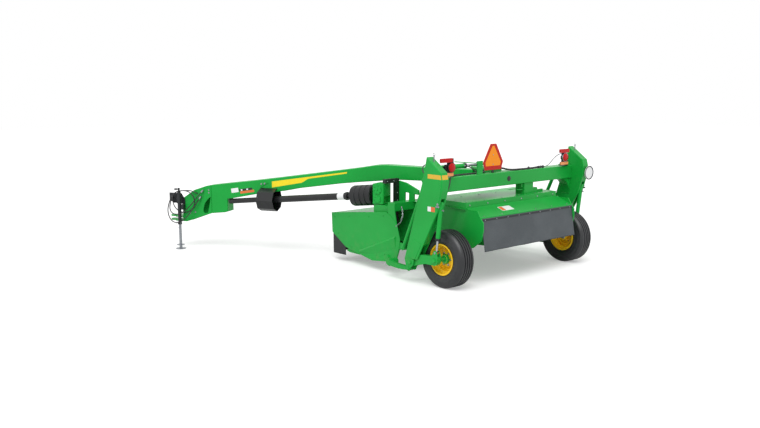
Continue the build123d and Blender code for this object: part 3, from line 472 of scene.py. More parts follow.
def lathe(profile, centre, axis, turns, closed=False):
    """Centre + h along the axis + r (cos a, sin a) square to it, for each (r, h) and each angle a."""
    radius, height = (np.asarray(profile, float) * MM).T[:, None, :, None]
    spoke = around(np.zeros(3), 1.0, turns, axis)[:, None]
    points = centre + height * beside(axis)[0] + radius * spoke
    return points.reshape(-1, 3), grid_faces(turns, len(profile), True, closed).tolist()


def sweep(profile, path, up=UP, closed=False):
    """Path point + u across + v upwards for each (u, v), the frame squared to the path's direction."""
    profile, path = np.asarray(profile, float), np.asarray(path, float)
    ahead = np.roll(path, -1, axis=0) - np.roll(path, 1, axis=0)
    if not closed:
        ahead[0], ahead[-1] = path[1] - path[0], path[-1] - path[-2]
    ahead /= np.linalg.norm(ahead, axis=1, keepdims=True)
    side = np.cross(ahead, up)
    side /= np.linalg.norm(side, axis=1, keepdims=True)
    top = np.cross(side, ahead)
    u, v = profile.T[:, None, :, None]
    points = path[:, None] + u * side[:, None] + v * top[:, None]
    rows, columns = points.shape[:2]
    faces = grid_faces(rows, columns, closed, True).tolist()
    if not closed:
        faces += [list(range(columns)), list(range((rows - 1) * columns, rows * columns))]
    return points.reshape(-1, 3), faces


def prism(outline, origin, across, upward, depth):
    """Origin + u across + v upward for each (u, v), and the same again moved by the vector depth."""
    outline = np.asarray(outline, float)
    flat = origin + outline[:, :1] * across + outline[:, 1:] * upward
    count = len(flat)
    faces = [list(range(count)), list(range(count, 2 * count))]
    ring = np.arange(count)
    after = (ring + 1) % count
    faces += np.stack([ring, after, after + count, ring + count], axis=1).tolist()
    return np.concatenate([flat, flat + depth]), faces


print("makers: lathe, sweep, prism")

# %% [markdown]
# Two outlines come up again and again, a circle and a rectangle with rounded corners. `join` puts
# shapes together, `copies` repeats one at many places at once, and `add_piece` makes the mesh,
# points its faces outwards, marks the edges that should look sharp and sets it on its body.

# %% Outlines, copies and new pieces
def circle(radius, count=12):
    """Radius times (cos a, sin a) at evenly spaced angles."""
    angle = np.linspace(0, 2 * math.pi, count, endpoint=False)
    return radius * np.stack([np.cos(angle), np.sin(angle)], axis=1)


def rounded(width, height, radius, count=5):
    """A rectangle's outline whose corners are quarter circles."""
    angle = np.linspace(0, math.pi / 2, count)
    arc = radius * np.stack([np.cos(angle), np.sin(angle)], axis=1)
    corners = []
    for quarter, (sx, sy) in enumerate(((1, 1), (-1, 1), (-1, -1), (1, -1))):
        turn = quarter * math.pi / 2
        spin = np.array([[math.cos(turn), math.sin(turn)], [-math.sin(turn), math.cos(turn)]])
        corners.append(arc @ spin + [sx * (width / 2 - radius), sy * (height / 2 - radius)])
    return np.concatenate(corners)


def join(shapes):
    """Several shapes as one: their points stacked, their faces renumbered."""
    start = np.cumsum([0] + [len(points) for points, _ in shapes]).tolist()
    faces = [[corner + first for corner in face] for first, (_, part) in zip(start, shapes) for face in part]
    return np.concatenate([points for points, _ in shapes]), faces


def copies(shape, places, axis):
    """The shape, drawn about +Z, turned to the axis and set down at each place."""
    points, faces = shape
    axis, side, other = beside(axis)
    turned = points @ np.stack([side, other, axis])
    places = np.atleast_2d(places)
    many = (places[:, None] + turned[None]).reshape(-1, 3)
    step = len(points)
    return many, [[corner + k * step for corner in face] for k in range(len(places)) for face in faces]


def place_piece(name, data, material, body):
    """A new object in its finish, on the body that it moves with."""
    data.materials.append(material)
    piece = bpy.data.objects.new(name, data)
    bpy.context.scene.collection.objects.link(piece)
    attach(piece, body)
    return piece


def add_piece(name, shape, material, body="frame", sharp=32):
    """A mesh of the shape, smooth except where two faces meet at more than sharp degrees."""
    points, faces = shape
    mesh = bpy.data.meshes.new(name)
    mesh.from_pydata(np.asarray(points, float).tolist(), [], faces)
    work = bmesh.new()
    work.from_mesh(mesh)
    bmesh.ops.remove_doubles(work, verts=work.verts, dist=1e-6)
    bmesh.ops.recalc_face_normals(work, faces=work.faces)
    work.to_mesh(mesh)
    work.free()
    mesh.shade_smooth()
    mesh.set_sharp_from_angle(angle=math.radians(sharp))
    return place_piece(name, mesh, material, body)


print("finishes", len(SLOT_OF), "in slots", len(set(SLOT_OF.values())))

# %% [markdown]
# A tyre is the machine's most looked-at round form. Its section goes from the bead that grips
# the rim, round the bulging wall with its moulded lines, over the shoulder to the tread, and down
# the other wall. Four grooves leave five ribs, the usual tread of an implement tyre. The lathe
# turns it all.

# %% Tyres
WALL = [(194.3, 107.7), (208.3, 107.7), (212, 113), (222, 121), (232, 126), (243, 129.4), (246, 131.2),
        (250, 131.2), (254, 130.2), (270, 131.6), (288, 131.4), (292, 132), (297, 131.8), (301, 130.6),
        (318, 128.6), (330, 124.6), (337, 125.4), (341, 124.2), (355, 117.4), (366, 108.6), (374, 98.6),
        (378, 91)]
TREAD_RADIUS = 380.0
TREAD_CROWN = 1.2
TREAD_EDGE = 90
GROOVES = (60, 20, -20, -60)
GROOVE_HALF, GROOVE_FLOOR = 8.5, 7.0
GROOVE_DEPTH = 14.0


def tyre_section():
    """One wall, the grooved tread, lower by the crown times (h / edge)^2, and the wall mirrored."""
    cut = [(0, TREAD_EDGE)]
    for middle in GROOVES:
        cut += [(0, middle + GROOVE_HALF), (GROOVE_DEPTH, middle + GROOVE_FLOOR),
                (GROOVE_DEPTH, middle - GROOVE_FLOOR), (0, middle - GROOVE_HALF)]
    depth, height = np.array(cut + [(0, -TREAD_EDGE)], float).T
    tread = np.c_[TREAD_RADIUS - TREAD_CROWN * (height / TREAD_EDGE) ** 2 - depth, height]
    return np.concatenate([WALL, tread, np.array(WALL[::-1]) * [1, -1]])


for side in OUTWARD:
    whole = lathe(tyre_section(), TYRES[side].mean(axis=0), RIGHT, 96, closed=True)
    tyre = add_piece(f"{side}_tyre_rubber", whole, TYRE, f"{side}_wheel", sharp=28)
    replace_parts(tyre, f"{side}_tyre")
print("tyre section points", len(tyre_section()))

# %% [markdown]
# A workshop's small parts are few kinds, used many times: a hexagon bolt on its washer and a
# domed rivet. A stack of outlines, each with its height, makes both, and `copies` sets them down.

# %% Bolts and rivets
def hexagon(radius):
    """Twelve points on a hexagon: its corners at the radius and the middles of its sides."""
    angle = np.arange(12) * math.pi / 6
    reach = np.where(np.arange(12) % 2 == 0, radius, radius * math.cos(math.pi / 6))
    return np.stack([reach * np.cos(angle), reach * np.sin(angle)], axis=1)


def stack(layers):
    """Outlines of one length at their heights along Z, joined side by side and closed at both ends."""
    count = len(layers[0][0])
    points = np.concatenate([np.c_[outline, np.full(count, height)] for outline, height in layers])
    faces = grid_faces(len(layers), count, False, True).tolist()
    last = (len(layers) - 1) * count
    return points, faces + [list(range(count)), list(range(last, last + count))]


def bolt(radius, washer=1.3, head=0.65):
    """A washer, then a hexagon head with its corners turned off. All sizes are shares of the radius."""
    disc, chamfer, crown = 0.16, 0.12, 0.86
    ring, flats = circle(radius * washer), hexagon(radius)
    layers = [(ring, 0), (ring, disc), (flats, disc), (flats, disc + head - chamfer),
              (hexagon(radius * crown), disc + head)]
    return stack([(outline, radius * height) for outline, height in layers])


def dome(radius, high):
    """A rivet's head: circles that shrink as they rise."""
    rise = ((1, 0), (0.94, 0.4), (0.7, 0.8), (0.3, 1))
    return stack([(circle(radius * wide), high * share) for wide, share in rise])


print("points in a bolt", len(bolt(1)[0]), "and in a rivet", len(dome(1, 1)[0]))

# %% [markdown]
# Six wheel nuts with their studs, a hub cover, a grease cap and a valve finish each wheel.

# %% Wheels
NUTS = 6
NUT_CIRCLE = 0.083
DISC_OUT, DISC_IN = 0.0201, 0.0119
HUB_COVER = [(24.4, 60.2), (52, 60.2), (61, 57), (64, 52), (64, 20.2)]
GREASE_CAP = [(0, 84), (30, 84), (38, 78), (40, 70.2), (0, 70.2)]
VALVE = [(0, 0), (5, 0), (5, 18), (3.5, 20), (3.5, 42), (0, 42)]
VALVE_UP, VALVE_OUT = 0.140, 0.001

for side, out in OUTWARD.items():
    wheel, centre = f"{side}_wheel", RIMS[side].mean(axis=0)
    add_piece(f"{side}_hub_cover", lathe(HUB_COVER, centre, out, 48), GREEN, wheel)
    nuts = copies(bolt(0.0125, 1.35, 0.9), around(centre + out * DISC_OUT, NUT_CIRCLE, NUTS, out), out)
    studs = copies(dome(0.010, 0.006), around(centre + out * DISC_IN, NUT_CIRCLE, NUTS, out), -out)
    add_piece(f"{side}_wheel_nuts", join([nuts, studs]), ZINC, wheel)
    add_piece(f"{side}_grease_cap", lathe(GREASE_CAP, centre, -out, 32, closed=True), ZINC, wheel)
    valve = lathe(VALVE, centre + UP * VALVE_UP + out * VALVE_OUT, out, 12, closed=True)
    add_piece(f"{side}_valve", valve, PLASTIC, wheel)
print("nuts per wheel", NUTS)

# %% [markdown]
# The curtains are sheets of rubber that hang from their upper edge. A sheet is a grid of points:
# one direction runs along the clamped edge and one runs down. Each hangs flat where it is held,
# and swings out in shallow waves towards its free edge, by the square of the way down.

# %% A curtain by formula
CURTAIN_THICK = 0.005
WAVE = 0.004
ALONG_EDGE, DOWNWARD = 120, 24


def along(share, places, run):
    """Places known at some shares of a line, read off at the shares in run."""
    return np.stack([np.interp(run, share, axis) for axis in np.array(places).T], axis=1)


def hang(node, share, top, bottom, outward, flat, phase, finish, body="frame"):
    """Top + t (bottom - top) + outward t^2 WAVE (1.5 + waves along the edge), for each t from 0 to 1."""
    run = np.linspace(0, 1, ALONG_EDGE)
    drop = np.linspace(0, 1, DOWNWARD)
    upper, lower = along(share, top, run), along(share, bottom, run)
    quick_waves = np.sin(run * 2 * math.pi * 5.3 * flat[0] / 1.9 + phase)
    slow_waves = 0.5 * np.sin(run * 2 * math.pi * 2.1 + 1.0)
    swing = drop[None] ** 2 * (1.5 + quick_waves + slow_waves)[:, None] * WAVE
    lean = np.broadcast_to(outward, upper.shape)[:, None]
    points = upper[:, None] + drop[None, :, None] * (lower - upper)[:, None] + swing[..., None] * lean
    grid = grid_faces(ALONG_EDGE, DOWNWARD, False, False).tolist()
    sheet = add_piece(f"{node}_rubber", (points.reshape(-1, 3), grid), finish, body)
    wall = sheet.modifiers.new("thickness", "SOLIDIFY")
    wall.thickness = CURTAIN_THICK
    wall.offset = 0
    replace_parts(sheet, node)


print("curtain grid", ALONG_EDGE, "by", DOWNWARD)

# %% [markdown]
# The rear and front curtains are straight. The end curtain is the one with a corner: seen from
# above it comes forward along the side, turns a quarter circle and goes on along the front. Its
# upper edge rises on the side stretch, so its cut sheet is no rectangle and its area is summed.

# %% The three curtains
HEM, CLAMP, SIDE_CLAMP = 0.110, 0.700, 0.650
FREE_HEIGHT = 0.590
REAR_X = (-0.956, 0.956)
FRONT_X = (-0.596, 1.335)
CORNER_X, CORNER_Y, CORNER_BEND = -1.3415, 2.3635, 0.030
SIDE_START, SIDE_RUN = 2.052, 0.309
END_X = -0.609

hang("rear_curtain", (0, 1), at(REAR_X, -0.306, 0.905), at(REAR_X, -0.361, 0.480), -FORWARD,
     (1.912, 0.4286), 0.0, CURTAIN)
# The front curtain wears the painted-shade copy of the rubber, the same as the end curtain.
hang("front_curtain", (0, 1), at(FRONT_X, CORNER_Y, CLAMP), at(FRONT_X, CORNER_Y, HEM), -FORWARD,
     (1.931, FREE_HEIGHT), 0.7, SHADED_CURTAIN, "front_lid")

turn = np.linspace(math.pi, math.pi / 2, 9)
plan_x = np.r_[CORNER_X, CORNER_X + CORNER_BEND * (1 + np.cos(turn)), END_X]
plan_y = np.r_[SIDE_START, CORNER_Y - CORNER_BEND * (1 - np.sin(turn)), CORNER_Y]
plan_z = SIDE_CLAMP + (CLAMP - SIDE_CLAMP) * np.clip((plan_y - SIDE_START) / SIDE_RUN, 0, 1)
steps = np.r_[0, np.cumsum(np.hypot(np.diff(plan_x), np.diff(plan_y)))]
share = steps / steps[-1]
inward = np.stack([np.clip(1 - share * 3, 0, 1), -np.clip(share * 3, 0, 1), 0 * share], axis=1)
high = plan_z - HEM
area = float((np.diff(steps) * (high[1:] + high[:-1]) / 2).sum())
# The end curtain wears the darker, painted-shade copy of the rubber, because it stands in shadow.
hang("end_curtain", share, at(plan_x, plan_y, plan_z), at(plan_x, plan_y, HEM),
     along(share, inward, np.linspace(0, 1, ALONG_EDGE)), (float(steps[-1]), FREE_HEIGHT), 2.0,
     SHADED_CURTAIN)
print("end curtain cut", round(float(steps[-1]), 3), "by", FREE_HEIGHT, "m,", round(area, 3), "square metres")

# %% [markdown]
# A steel strip clamps the rear curtain to the hood, and evenly spaced bolts pull it tight. The strip's dark
# steel is painted shade: it stands for the shadow line between the hood's lip and the curtain. Rows of
# like bolts hold the hood, the deck, the lid and the front edge. Each row runs across the machine, so it is
# one line of a table: from x to x, its y and z, how many, which way they face.

# %% Clamp strip and rows of bolts
SLOPE_OUT = np.array([0.0, -0.097, 0.257])
SLOPE_OUT = SLOPE_OUT / np.linalg.norm(SLOPE_OUT)
SLOPE_UP = np.cross(SLOPE_OUT, RIGHT)
SHEET_BOLT, STRIP_BOLT = bolt(0.0080), bolt(0.0060)
STRIP_HALF, STRIP_Y, STRIP_Z = 0.952, -0.3137, 0.886
ROWS = [
    (STRIP_BOLT, -0.90, 0.90, -0.3152, STRIP_Z, 9, -FORWARD),
    (SHEET_BOLT, -0.88, 0.88, -0.274, 0.929, 6, SLOPE_OUT),
    (SHEET_BOLT, -0.90, 0.90, 0.03, 1.0851, 6, UP),
    (SHEET_BOLT, -0.90, 0.18, 0.46, 1.0851, 4, UP),
    (SHEET_BOLT, -0.88, 0.88, -0.0201, 1.045, 6, -FORWARD),
    (SHEET_BOLT, -0.90, 1.28, 1.16, 0.8628, 7, UP),
    (SHEET_BOLT, -1.30, -0.66, 2.3721, 0.668, 3, FORWARD),
]
LID_ROW = (SHEET_BOLT, -0.54, 1.28, 2.3721, 0.668, 7, FORWARD)


def bolt_row(kind, start, end, y, z, count, axis):
    """Bolts of a kind, evenly spaced across the machine from x = start to x = end."""
    return copies(kind, at(np.linspace(start, end, count), y, z), axis)


# The strip's dark steel is painted shade, the shadow line between the hood's lip and the curtain.
shade_line_strip = sweep(rounded(0.003, 0.026, 0.001, 3), at([-STRIP_HALF, STRIP_HALF], STRIP_Y, STRIP_Z))
add_piece("curtain_clamp_shade_line", shade_line_strip, DARK)
add_piece("sheet_bolts", join([bolt_row(*line) for line in ROWS]), ZINC)
add_piece("lid_bolts", bolt_row(*LID_ROW), ZINC, "front_lid")
print("rows", len(ROWS) + 1)

# %% [markdown]
# The side shields have one long pressed crease. A pressing is a ridge: two faces meet on a line
# that stands a little proud, the upper one narrow and bright, the lower one broad and in shade.
# Bolts in the shield's own paint follow its edge.

# %% Side shields
SHIELD_FACE = 1.35
SHIELD_BOLTS = [(1.16, 0.262), (1.33, 0.225), (1.62, 0.232), (1.90, 0.262), (2.22, 0.42), (2.30, 0.66),
                (1.95, 0.71), (1.50, 0.765), (1.18, 0.81)]
CREASE_HIGH, CREASE_SUNK = 0.016, -0.001
CREASE = [([(1.720, 0.238), (1.30, 0.410), (0.925, 0.562)], CREASE_SUNK),
          ([(1.700, 0.222), (1.29, 0.386), (0.930, 0.530)], CREASE_HIGH),
          ([(1.680, 0.206), (1.25, 0.262), (0.925, 0.372)], CREASE_SUNK)]
CREASE_ENDS = [[0, 3, 6], [2, 5, 8], [0, 1, 2, 8, 7, 6]]

shield_y, shield_z = np.array(SHIELD_BOLTS).T
for side, out in OUTWARD.items():
    bolts = copies(SHEET_BOLT, at(out[0] * (SHIELD_FACE + 0.0001), shield_y, shield_z), out)
    add_piece(f"{side}_shield_bolts", bolts, GREEN)
for side, out in OUTWARD.items():
    lines = [at(out[0] * SHIELD_FACE, *np.array(line).T) + out * lift for line, lift in CREASE]
    faces = grid_faces(3, 3, False, False).tolist() + CREASE_ENDS
    add_piece(f"{side}_crease", (np.concatenate(lines), faces), GREEN, sharp=8)
print("shield bolts", len(SHIELD_BOLTS), "crease", CREASE_HIGH * 1000, "mm proud")

# %% [markdown]
# Pins carry every joint of the running gear. Outside the leg each pin ends in a washer and a
# nut, and inside in a plain head. The cylinder's upper pin has a flat keeper with one bolt. Each
# pin's place is its y and z, since the pins lie across the machine.

# %% Pins and keepers of the running gear
LEG_X, LEG_FACE, LEG_INSIDE, LEG_PAD = 1.480, 1.5402, 1.4198, 1.5442
ARM_PIVOT, LINK_PIN = (0.420, 0.300), (0.455, 0.212)
LIFT_PIN, ROD_PIN = (-0.085, 1.125), (-0.015, 0.486)
AXLE, AXLE_FACE = (0.0, 0.380), 1.5152
LUG_HALF = 0.0352
KEEPER_DOWN = UP * -0.030

for side, out in OUTWARD.items():
    x = out[0]
    nuts = [copies(bolt(0.026, 1.35, 0.55), at(x * LEG_FACE, *ARM_PIVOT), out),
            copies(bolt(0.019, 1.35, 0.6), at(x * LEG_FACE, *LINK_PIN), out)]
    add_piece(f"{side}_leg_nuts", join(nuts), GREEN)
    high = at(x * LEG_PAD, *LIFT_PIN)
    keeper = prism(rounded(0.062, 0.022, 0.006), high - out * 0.0004 + KEEPER_DOWN, FORWARD, UP, out * 0.004)
    screw = copies(bolt(0.007), high + FORWARD * 0.012 + KEEPER_DOWN + out * 0.0035, out)
    add_piece(f"{side}_leg_pins", join([copies(dome(0.018, 0.007), high, out), keeper, screw]), ZINC)
    heads = [copies(dome(0.030, 0.008), at(x * LEG_INSIDE, *ARM_PIVOT), -out),
             copies(dome(0.022, 0.007), at(x * LEG_INSIDE, *LINK_PIN), -out)]
    add_piece(f"{side}_leg_pin_heads", join(heads), ZINC)
    axle = copies(bolt(0.030, 1.4, 0.6), at(x * AXLE_FACE, *AXLE), out)
    add_piece(f"{side}_axle_nut", axle, GREEN, f"{side}_wheel_arm")
    lugs = [copies(dome(0.017, 0.006), at(x * (LEG_X + way * LUG_HALF), *ROD_PIN), way * out)
            for way in (-1, 1)]
    add_piece(f"{side}_rod_pin", join(lugs), ZINC, f"{side}_wheel_arm")
print("pins done for", list(OUTWARD))

# %% [markdown]
# A cylinder's barrel ends in a gland, a turned ring that the rod slides through, and a port on
# its side takes each hose. The lift cylinders and the swing cylinder have the same two forms in
# their own sizes, so one function makes each of them. The tongue's pivot and crank get their nut
# and their pin's head.

# %% Glands and ports of the cylinders
ROD_RADIUS = 16.6
BARREL_Z = 1.541
CRANK, CRANK_ANGLE = 0.260, math.radians(15)
BARREL_FOOT = -1.180
PORTS = ((-1.105, FORWARD), (-0.745, -FORWARD))


def gland(end, radius, long, inside, start, axis):
    """A ring with both outer edges turned off, that ends at end along the axis, in millimetres."""
    bevel, land = 1.5, 4
    profile = [(ROD_RADIUS, end), (radius - bevel, end), (radius, end - land), (radius, end - long + land),
               (radius - bevel, end - long), (inside, end - long)]
    return lathe(profile, start, axis, 40)


def port(start, nut, nut_high, neck, place, axis):
    """A nut from start, and on it a thinner neck, in millimetres."""
    top = start + nut_high
    profile = [(0, start), (nut, start), (nut, top), (neck, top + 2), (neck, top + 16), (0, top + 16)]
    return lathe(profile, place, axis, 16, closed=True)


for side, out in OUTWARD.items():
    start, end = at(out[0] * LEG_X, *LIFT_PIN), at(out[0] * LEG_X, *ROD_PIN)
    way = (end - start) / np.linalg.norm(end - start)
    back = np.cross(way, RIGHT)
    back *= -np.sign(back[1])
    add_piece(f"{side}_lift_gland", gland(480, 34.5, 32, 30.2, start, way), DARK, f"{side}_lift_barrel")
    lift_port = port(28, 11, 12, 8.5, start + way * 0.075, back)
    add_piece(f"{side}_lift_port", lift_port, ZINC, f"{side}_lift_barrel")

pivot = on_ground(PIVOT)
crank = pivot + CRANK * (math.sin(CRANK_ANGLE) * RIGHT - math.cos(CRANK_ANGLE) * FORWARD)
barrel_y = crank[1] - DATUM[1]
add_piece("swing_gland", gland(490, 36.5, 38, 32.2, at(BARREL_FOOT, barrel_y, BARREL_Z), RIGHT), DARK)
ports = [port(30, 12, 14, 9, at(x, barrel_y, BARREL_Z), way) for x, way in PORTS]
foot_nut = copies(bolt(0.020, 1.4, 0.5), at(BARREL_FOOT, barrel_y, BARREL_Z + 0.0202), UP)
add_piece("swing_ports", join(ports + [foot_nut]), ZINC)
add_piece("pivot_nut", copies(bolt(0.040, 1.3, 0.5), pivot + UP * 1.5181, UP), ZINC, "tongue")
add_piece("swing_rod_pin", copies(dome(0.022, 0.008), crank + UP * 1.5592, UP), ZINC, "swing_rod")
print("crank pin at", crank.round(3))

# %% [markdown]
# The slow-vehicle sign is a triangle with cut corners and a border in a deeper red. The border is
# the band between two outlines, joined ring to ring. The round sign gets a turned rim.

# %% Signs
SIGN_X, SIGN_Y, SIGN_FACE = -0.300, 0.1030, 0.0998
SIGN = [(-0.203, 1.578), (-0.166, 1.470), (0.166, 1.470), (0.203, 1.578), (0.058, 1.826), (-0.058, 1.826)]
SIGN_INNER = [(-0.158, 1.574), (-0.146, 1.524), (0.146, 1.524), (0.158, 1.574), (0.018, 1.800),
              (-0.018, 1.800)]
SIGN_POST = [(-0.020, 1.4299), (0.020, 1.4299), (0.020, 1.700), (-0.020, 1.700)]
ROUND_SIGN = (1.500, -0.2062, 1.330)
ROUND_RIM = [(88, 0), (101, 0), (101.8, 2), (101.8, 5.5), (97.5, 6.2), (88, 1.5)]


def facing_rear(outline, x, y, thick):
    """An outline in x and z, its plate's front side at y and its thickness towards the rear."""
    return prism(outline, at(x, y, 0), RIGHT, UP, -FORWARD * thick)


def band(outer, inner, origin, depth):
    """The band between two outlines of equal length, and the same again moved by the vector depth."""
    rings = [origin + line[:, :1] * RIGHT + line[:, 1:] * UP for line in (np.array(outer), np.array(inner))]
    points = np.concatenate([rings[0], rings[1], rings[1] + depth, rings[0] + depth])
    return points, grid_faces(4, len(outer), True, True).tolist()


sign_panel = add_piece("sign_panel", facing_rear(SIGN, SIGN_X, SIGN_Y, 0.003), ORANGE)
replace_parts(sign_panel, "slow_sign")
add_piece("sign_back", facing_rear(SIGN, SIGN_X, SIGN_Y + 0.0014, 0.0013), ZINC)
add_piece("sign_post", facing_rear(SIGN_POST, SIGN_X, SIGN_Y + 0.006, 0.0062), DARK)
border = band(SIGN, SIGN_INNER, at(SIGN_X, SIGN_FACE, 0), -FORWARD * 0.0012)
add_piece("sign_border", border, RED_BORDER)
add_piece("sign_bolts", copies(bolt(0.0065), at(SIGN_X, SIGN_FACE, [1.545, 1.675]), -FORWARD), ZINC)
rim = lathe(ROUND_RIM, at(*ROUND_SIGN), -FORWARD, 56, closed=True)
add_piece("round_sign_rim", rim, DARK)
print("sign corners", len(SIGN))

# %% [markdown]
# The lamp units stand on their brackets: a red bar above, a round lens at one side and an amber
# strip below. The two differ in where they stand, where their bracket's foot, lens and strip are,
# and in the ring round the lens.

# %% Lamps
LAMP_FACE = 0.020
LAMPS = {"left": (-1.300, -1.280, 0.095, 0.045), "right": (1.168, 1.280, 0.022, 0.012)}
BAR_Z, LENS_Z, AMBER_Z = 1.661, 1.565, 1.476
LENS = [(0, 37), (24, 36), (44, 32), (56, 26), (60, 19), (60, 6)]
LENS_RING = [(60.5, 20), (66.5, 20), (67.5, 17), (67.5, 0), (60.2, 0)]
RING_FINISH = {"left": PLASTIC, "right": ZINC}


def plate(x, y, z, width, height, corner, thick):
    """A plate with rounded corners round (x, z), its front side at y and its thickness to the rear."""
    return facing_rear(rounded(width, height, corner) + [0, z], x, y, thick)


for side, (middle, foot, lens_shift, amber_shift) in LAMPS.items():
    add_piece(f"{side}_lamp_bar", plate(middle, LAMP_FACE, BAR_Z, 0.212, 0.054, 0.012, 0.022), RED_LENS)
    shelf = prism(rounded(0.080, 0.110, 0.004), at(foot, 0.107, 1.430), RIGHT, FORWARD, UP * 0.006)
    reach = abs(foot - middle) + 0.080
    plates = [plate(middle + lens_shift - 0.010, LAMP_FACE + 0.006, 1.590, 0.120, 0.186, 0.010, 0.007),
              plate(middle, LAMP_FACE + 0.006, BAR_Z, 0.206, 0.050, 0.008, 0.0065),
              plate(foot, 0.056, 1.490, 0.080, 0.120, 0.004, 0.006),
              shelf,
              plate(middle + 0.030, 0.0505, 1.575, 0.056, 0.060, 0.004, 0.025),
              plate((foot + middle + 0.030) / 2, 0.0562, 1.560, reach, 0.050, 0.004, 0.006)]
    bracket = add_piece(f"{side}_lamp_plates", join(plates), DARK)
    lens_at = at(middle + lens_shift, LAMP_FACE - 0.001, LENS_Z)
    add_piece(f"{side}_lens", lathe(LENS, lens_at, -FORWARD, 48), RED_LENS)
    ring = lathe(LENS_RING, lens_at, -FORWARD, 48, closed=True)
    add_piece(f"{side}_lens_ring", ring, RING_FINISH[side])
    amber_x = middle + amber_shift
    add_piece(f"{side}_amber", plate(amber_x, LAMP_FACE, AMBER_Z, 0.178, 0.042, 0.006, 0.011), AMBER)
    backing = plate(amber_x, LAMP_FACE + 0.0055, AMBER_Z, 0.188, 0.050, 0.006, 0.006)
    add_piece(f"{side}_amber_back", backing, DARK)
    if side == "left":
        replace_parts(bracket, "tail_lamps")
print("lamps", list(LAMPS))

# %% [markdown]
# Decals are blank vinyl, under half a millimetre thick, on the flat faces they are stuck to. The
# tongue's yellow stripe has parallel edges, then narrows along a smooth S. Between two heights
# an S is (3 t^2 - 2 t^3), which starts and ends level.

# %% Decals of the tongue
VINYL = 0.0004
LIFT = 0.0002
TONGUE_SIDE = -0.100
TONGUE_FALL = math.atan2(-0.042, 0.265)
TONGUE_LABELS = [("orange", LABEL, 3.652, 0.972, 0.250, 0.036),
                 ("black", BLACK_VINYL, 3.678, 1.006, 0.236, 0.032),
                 ("white", WHITE, 3.870, 0.984, 0.128, 0.068)]
LABEL_SQUARES = ((3.650, 1.0104), (3.750, 0.9946))


def patch(outline, origin, across, upward, out):
    """A thin plate whose underside lies just over the face."""
    return prism(outline, origin + out * LIFT, across, upward, out * VINYL)


left_out = -ACROSS
turn = np.linspace(0, 1, 9)
s_shape = 3 * turn ** 2 - 2 * turn ** 3
narrowing = np.c_[2.742 - 0.168 * turn, 1.144 + 0.075 * s_shape]
stripe = np.concatenate([[(3.217, 1.055)], narrowing, [(1.97, 1.317), (1.97, 1.339), (3.217, 1.149)]])
add_piece("tongue_stripe", patch(stripe, on_tongue(0, TONGUE_SIDE, 0), ALONG, UP, left_out), STRIPE, "tongue")

slant = ALONG * math.cos(TONGUE_FALL) + UP * math.sin(TONGUE_FALL)
square = -ALONG * math.sin(TONGUE_FALL) + UP * math.cos(TONGUE_FALL)
for name, finish, s, z, wide, high in TONGUE_LABELS:
    label = patch(rounded(wide, high, 0.006), on_tongue(s, TONGUE_SIDE, z), slant, square, left_out)
    add_piece(f"tongue_label_{name}", label, finish, "tongue")
squares = [patch(rounded(0.030, 0.022, 0.003), on_tongue(s, TONGUE_SIDE - VINYL, z), slant, square, left_out)
           for s, z in LABEL_SQUARES]
add_piece("tongue_label_squares", join(squares), WHITE, "tongue")
print("labels on the tongue", len(TONGUE_LABELS))

# %% [markdown]
# The left leg wears a band round its top and two small labels, the hood a pair of labels, and the
# beam a plain dark disc.

# %% Decals of leg, hood and beam
LEG_OUT, LEG_SIDE = -RIGHT, -1.540
BAND_SIDE = [(-0.146, 1.441), (0.100, 1.441), (0.100, 1.497), (-0.130, 1.497)]
REAR_UP = np.array([0.0, 0.028, 0.099])
REAR_UP = REAR_UP / np.linalg.norm(REAR_UP)
LEG_LABELS = [("leg_label_orange", LABEL, 0.000, 0.070), ("leg_label_white", WHITE, 0.067, 0.060)]
LEG_LABEL_Z, HOOD_LABEL_Y, HOOD_LABEL_Z = 1.052, -0.162, 0.9712
BADGE_PLACE = (-0.020, 0.0498, 1.333)
HOOD_LABELS = [("hood_label", WHITE, -0.320, 0.240, 0.110, 0.008, 0),
               ("hood_label_orange", LABEL, -0.395, 0.070, 0.096, 0.006, 0.0005)]
BADGE = [(0, 3), (34, 3), (36, 2.2), (36, 0)]

band_rear = patch(rounded(0.102, 0.058, 0.002), at(-LEG_X, -0.1484, 1.469), RIGHT, REAR_UP,
                  np.cross(RIGHT, REAR_UP))
add_piece("leg_band_side", patch(BAND_SIDE, at(LEG_SIDE, 0, 0), FORWARD, UP, LEG_OUT), TAPE)
add_piece("leg_band_rear", band_rear, TAPE)
for name, finish, y, wide in LEG_LABELS:
    label = patch(rounded(wide, 0.062, 0.006), at(LEG_SIDE, y, LEG_LABEL_Z), FORWARD, UP, LEG_OUT)
    add_piece(name, label, finish)
for name, finish, x, wide, high, corner, lift in HOOD_LABELS:
    place = at(x, HOOD_LABEL_Y, HOOD_LABEL_Z) + SLOPE_OUT * lift
    add_piece(name, patch(rounded(wide, high, corner), place, RIGHT, SLOPE_UP, SLOPE_OUT), finish)
add_piece("beam_badge", lathe(BADGE, at(*BADGE_PLACE), -FORWARD, 40), BLACK_VINYL)
print("decals on leg, hood and beam")

# %% [markdown]
# The gear head, the guard and the middle bearing are set along the shaft. Its line is known from
# two points, so every ring on it is a lathe about that line, at its distance from the gear head.

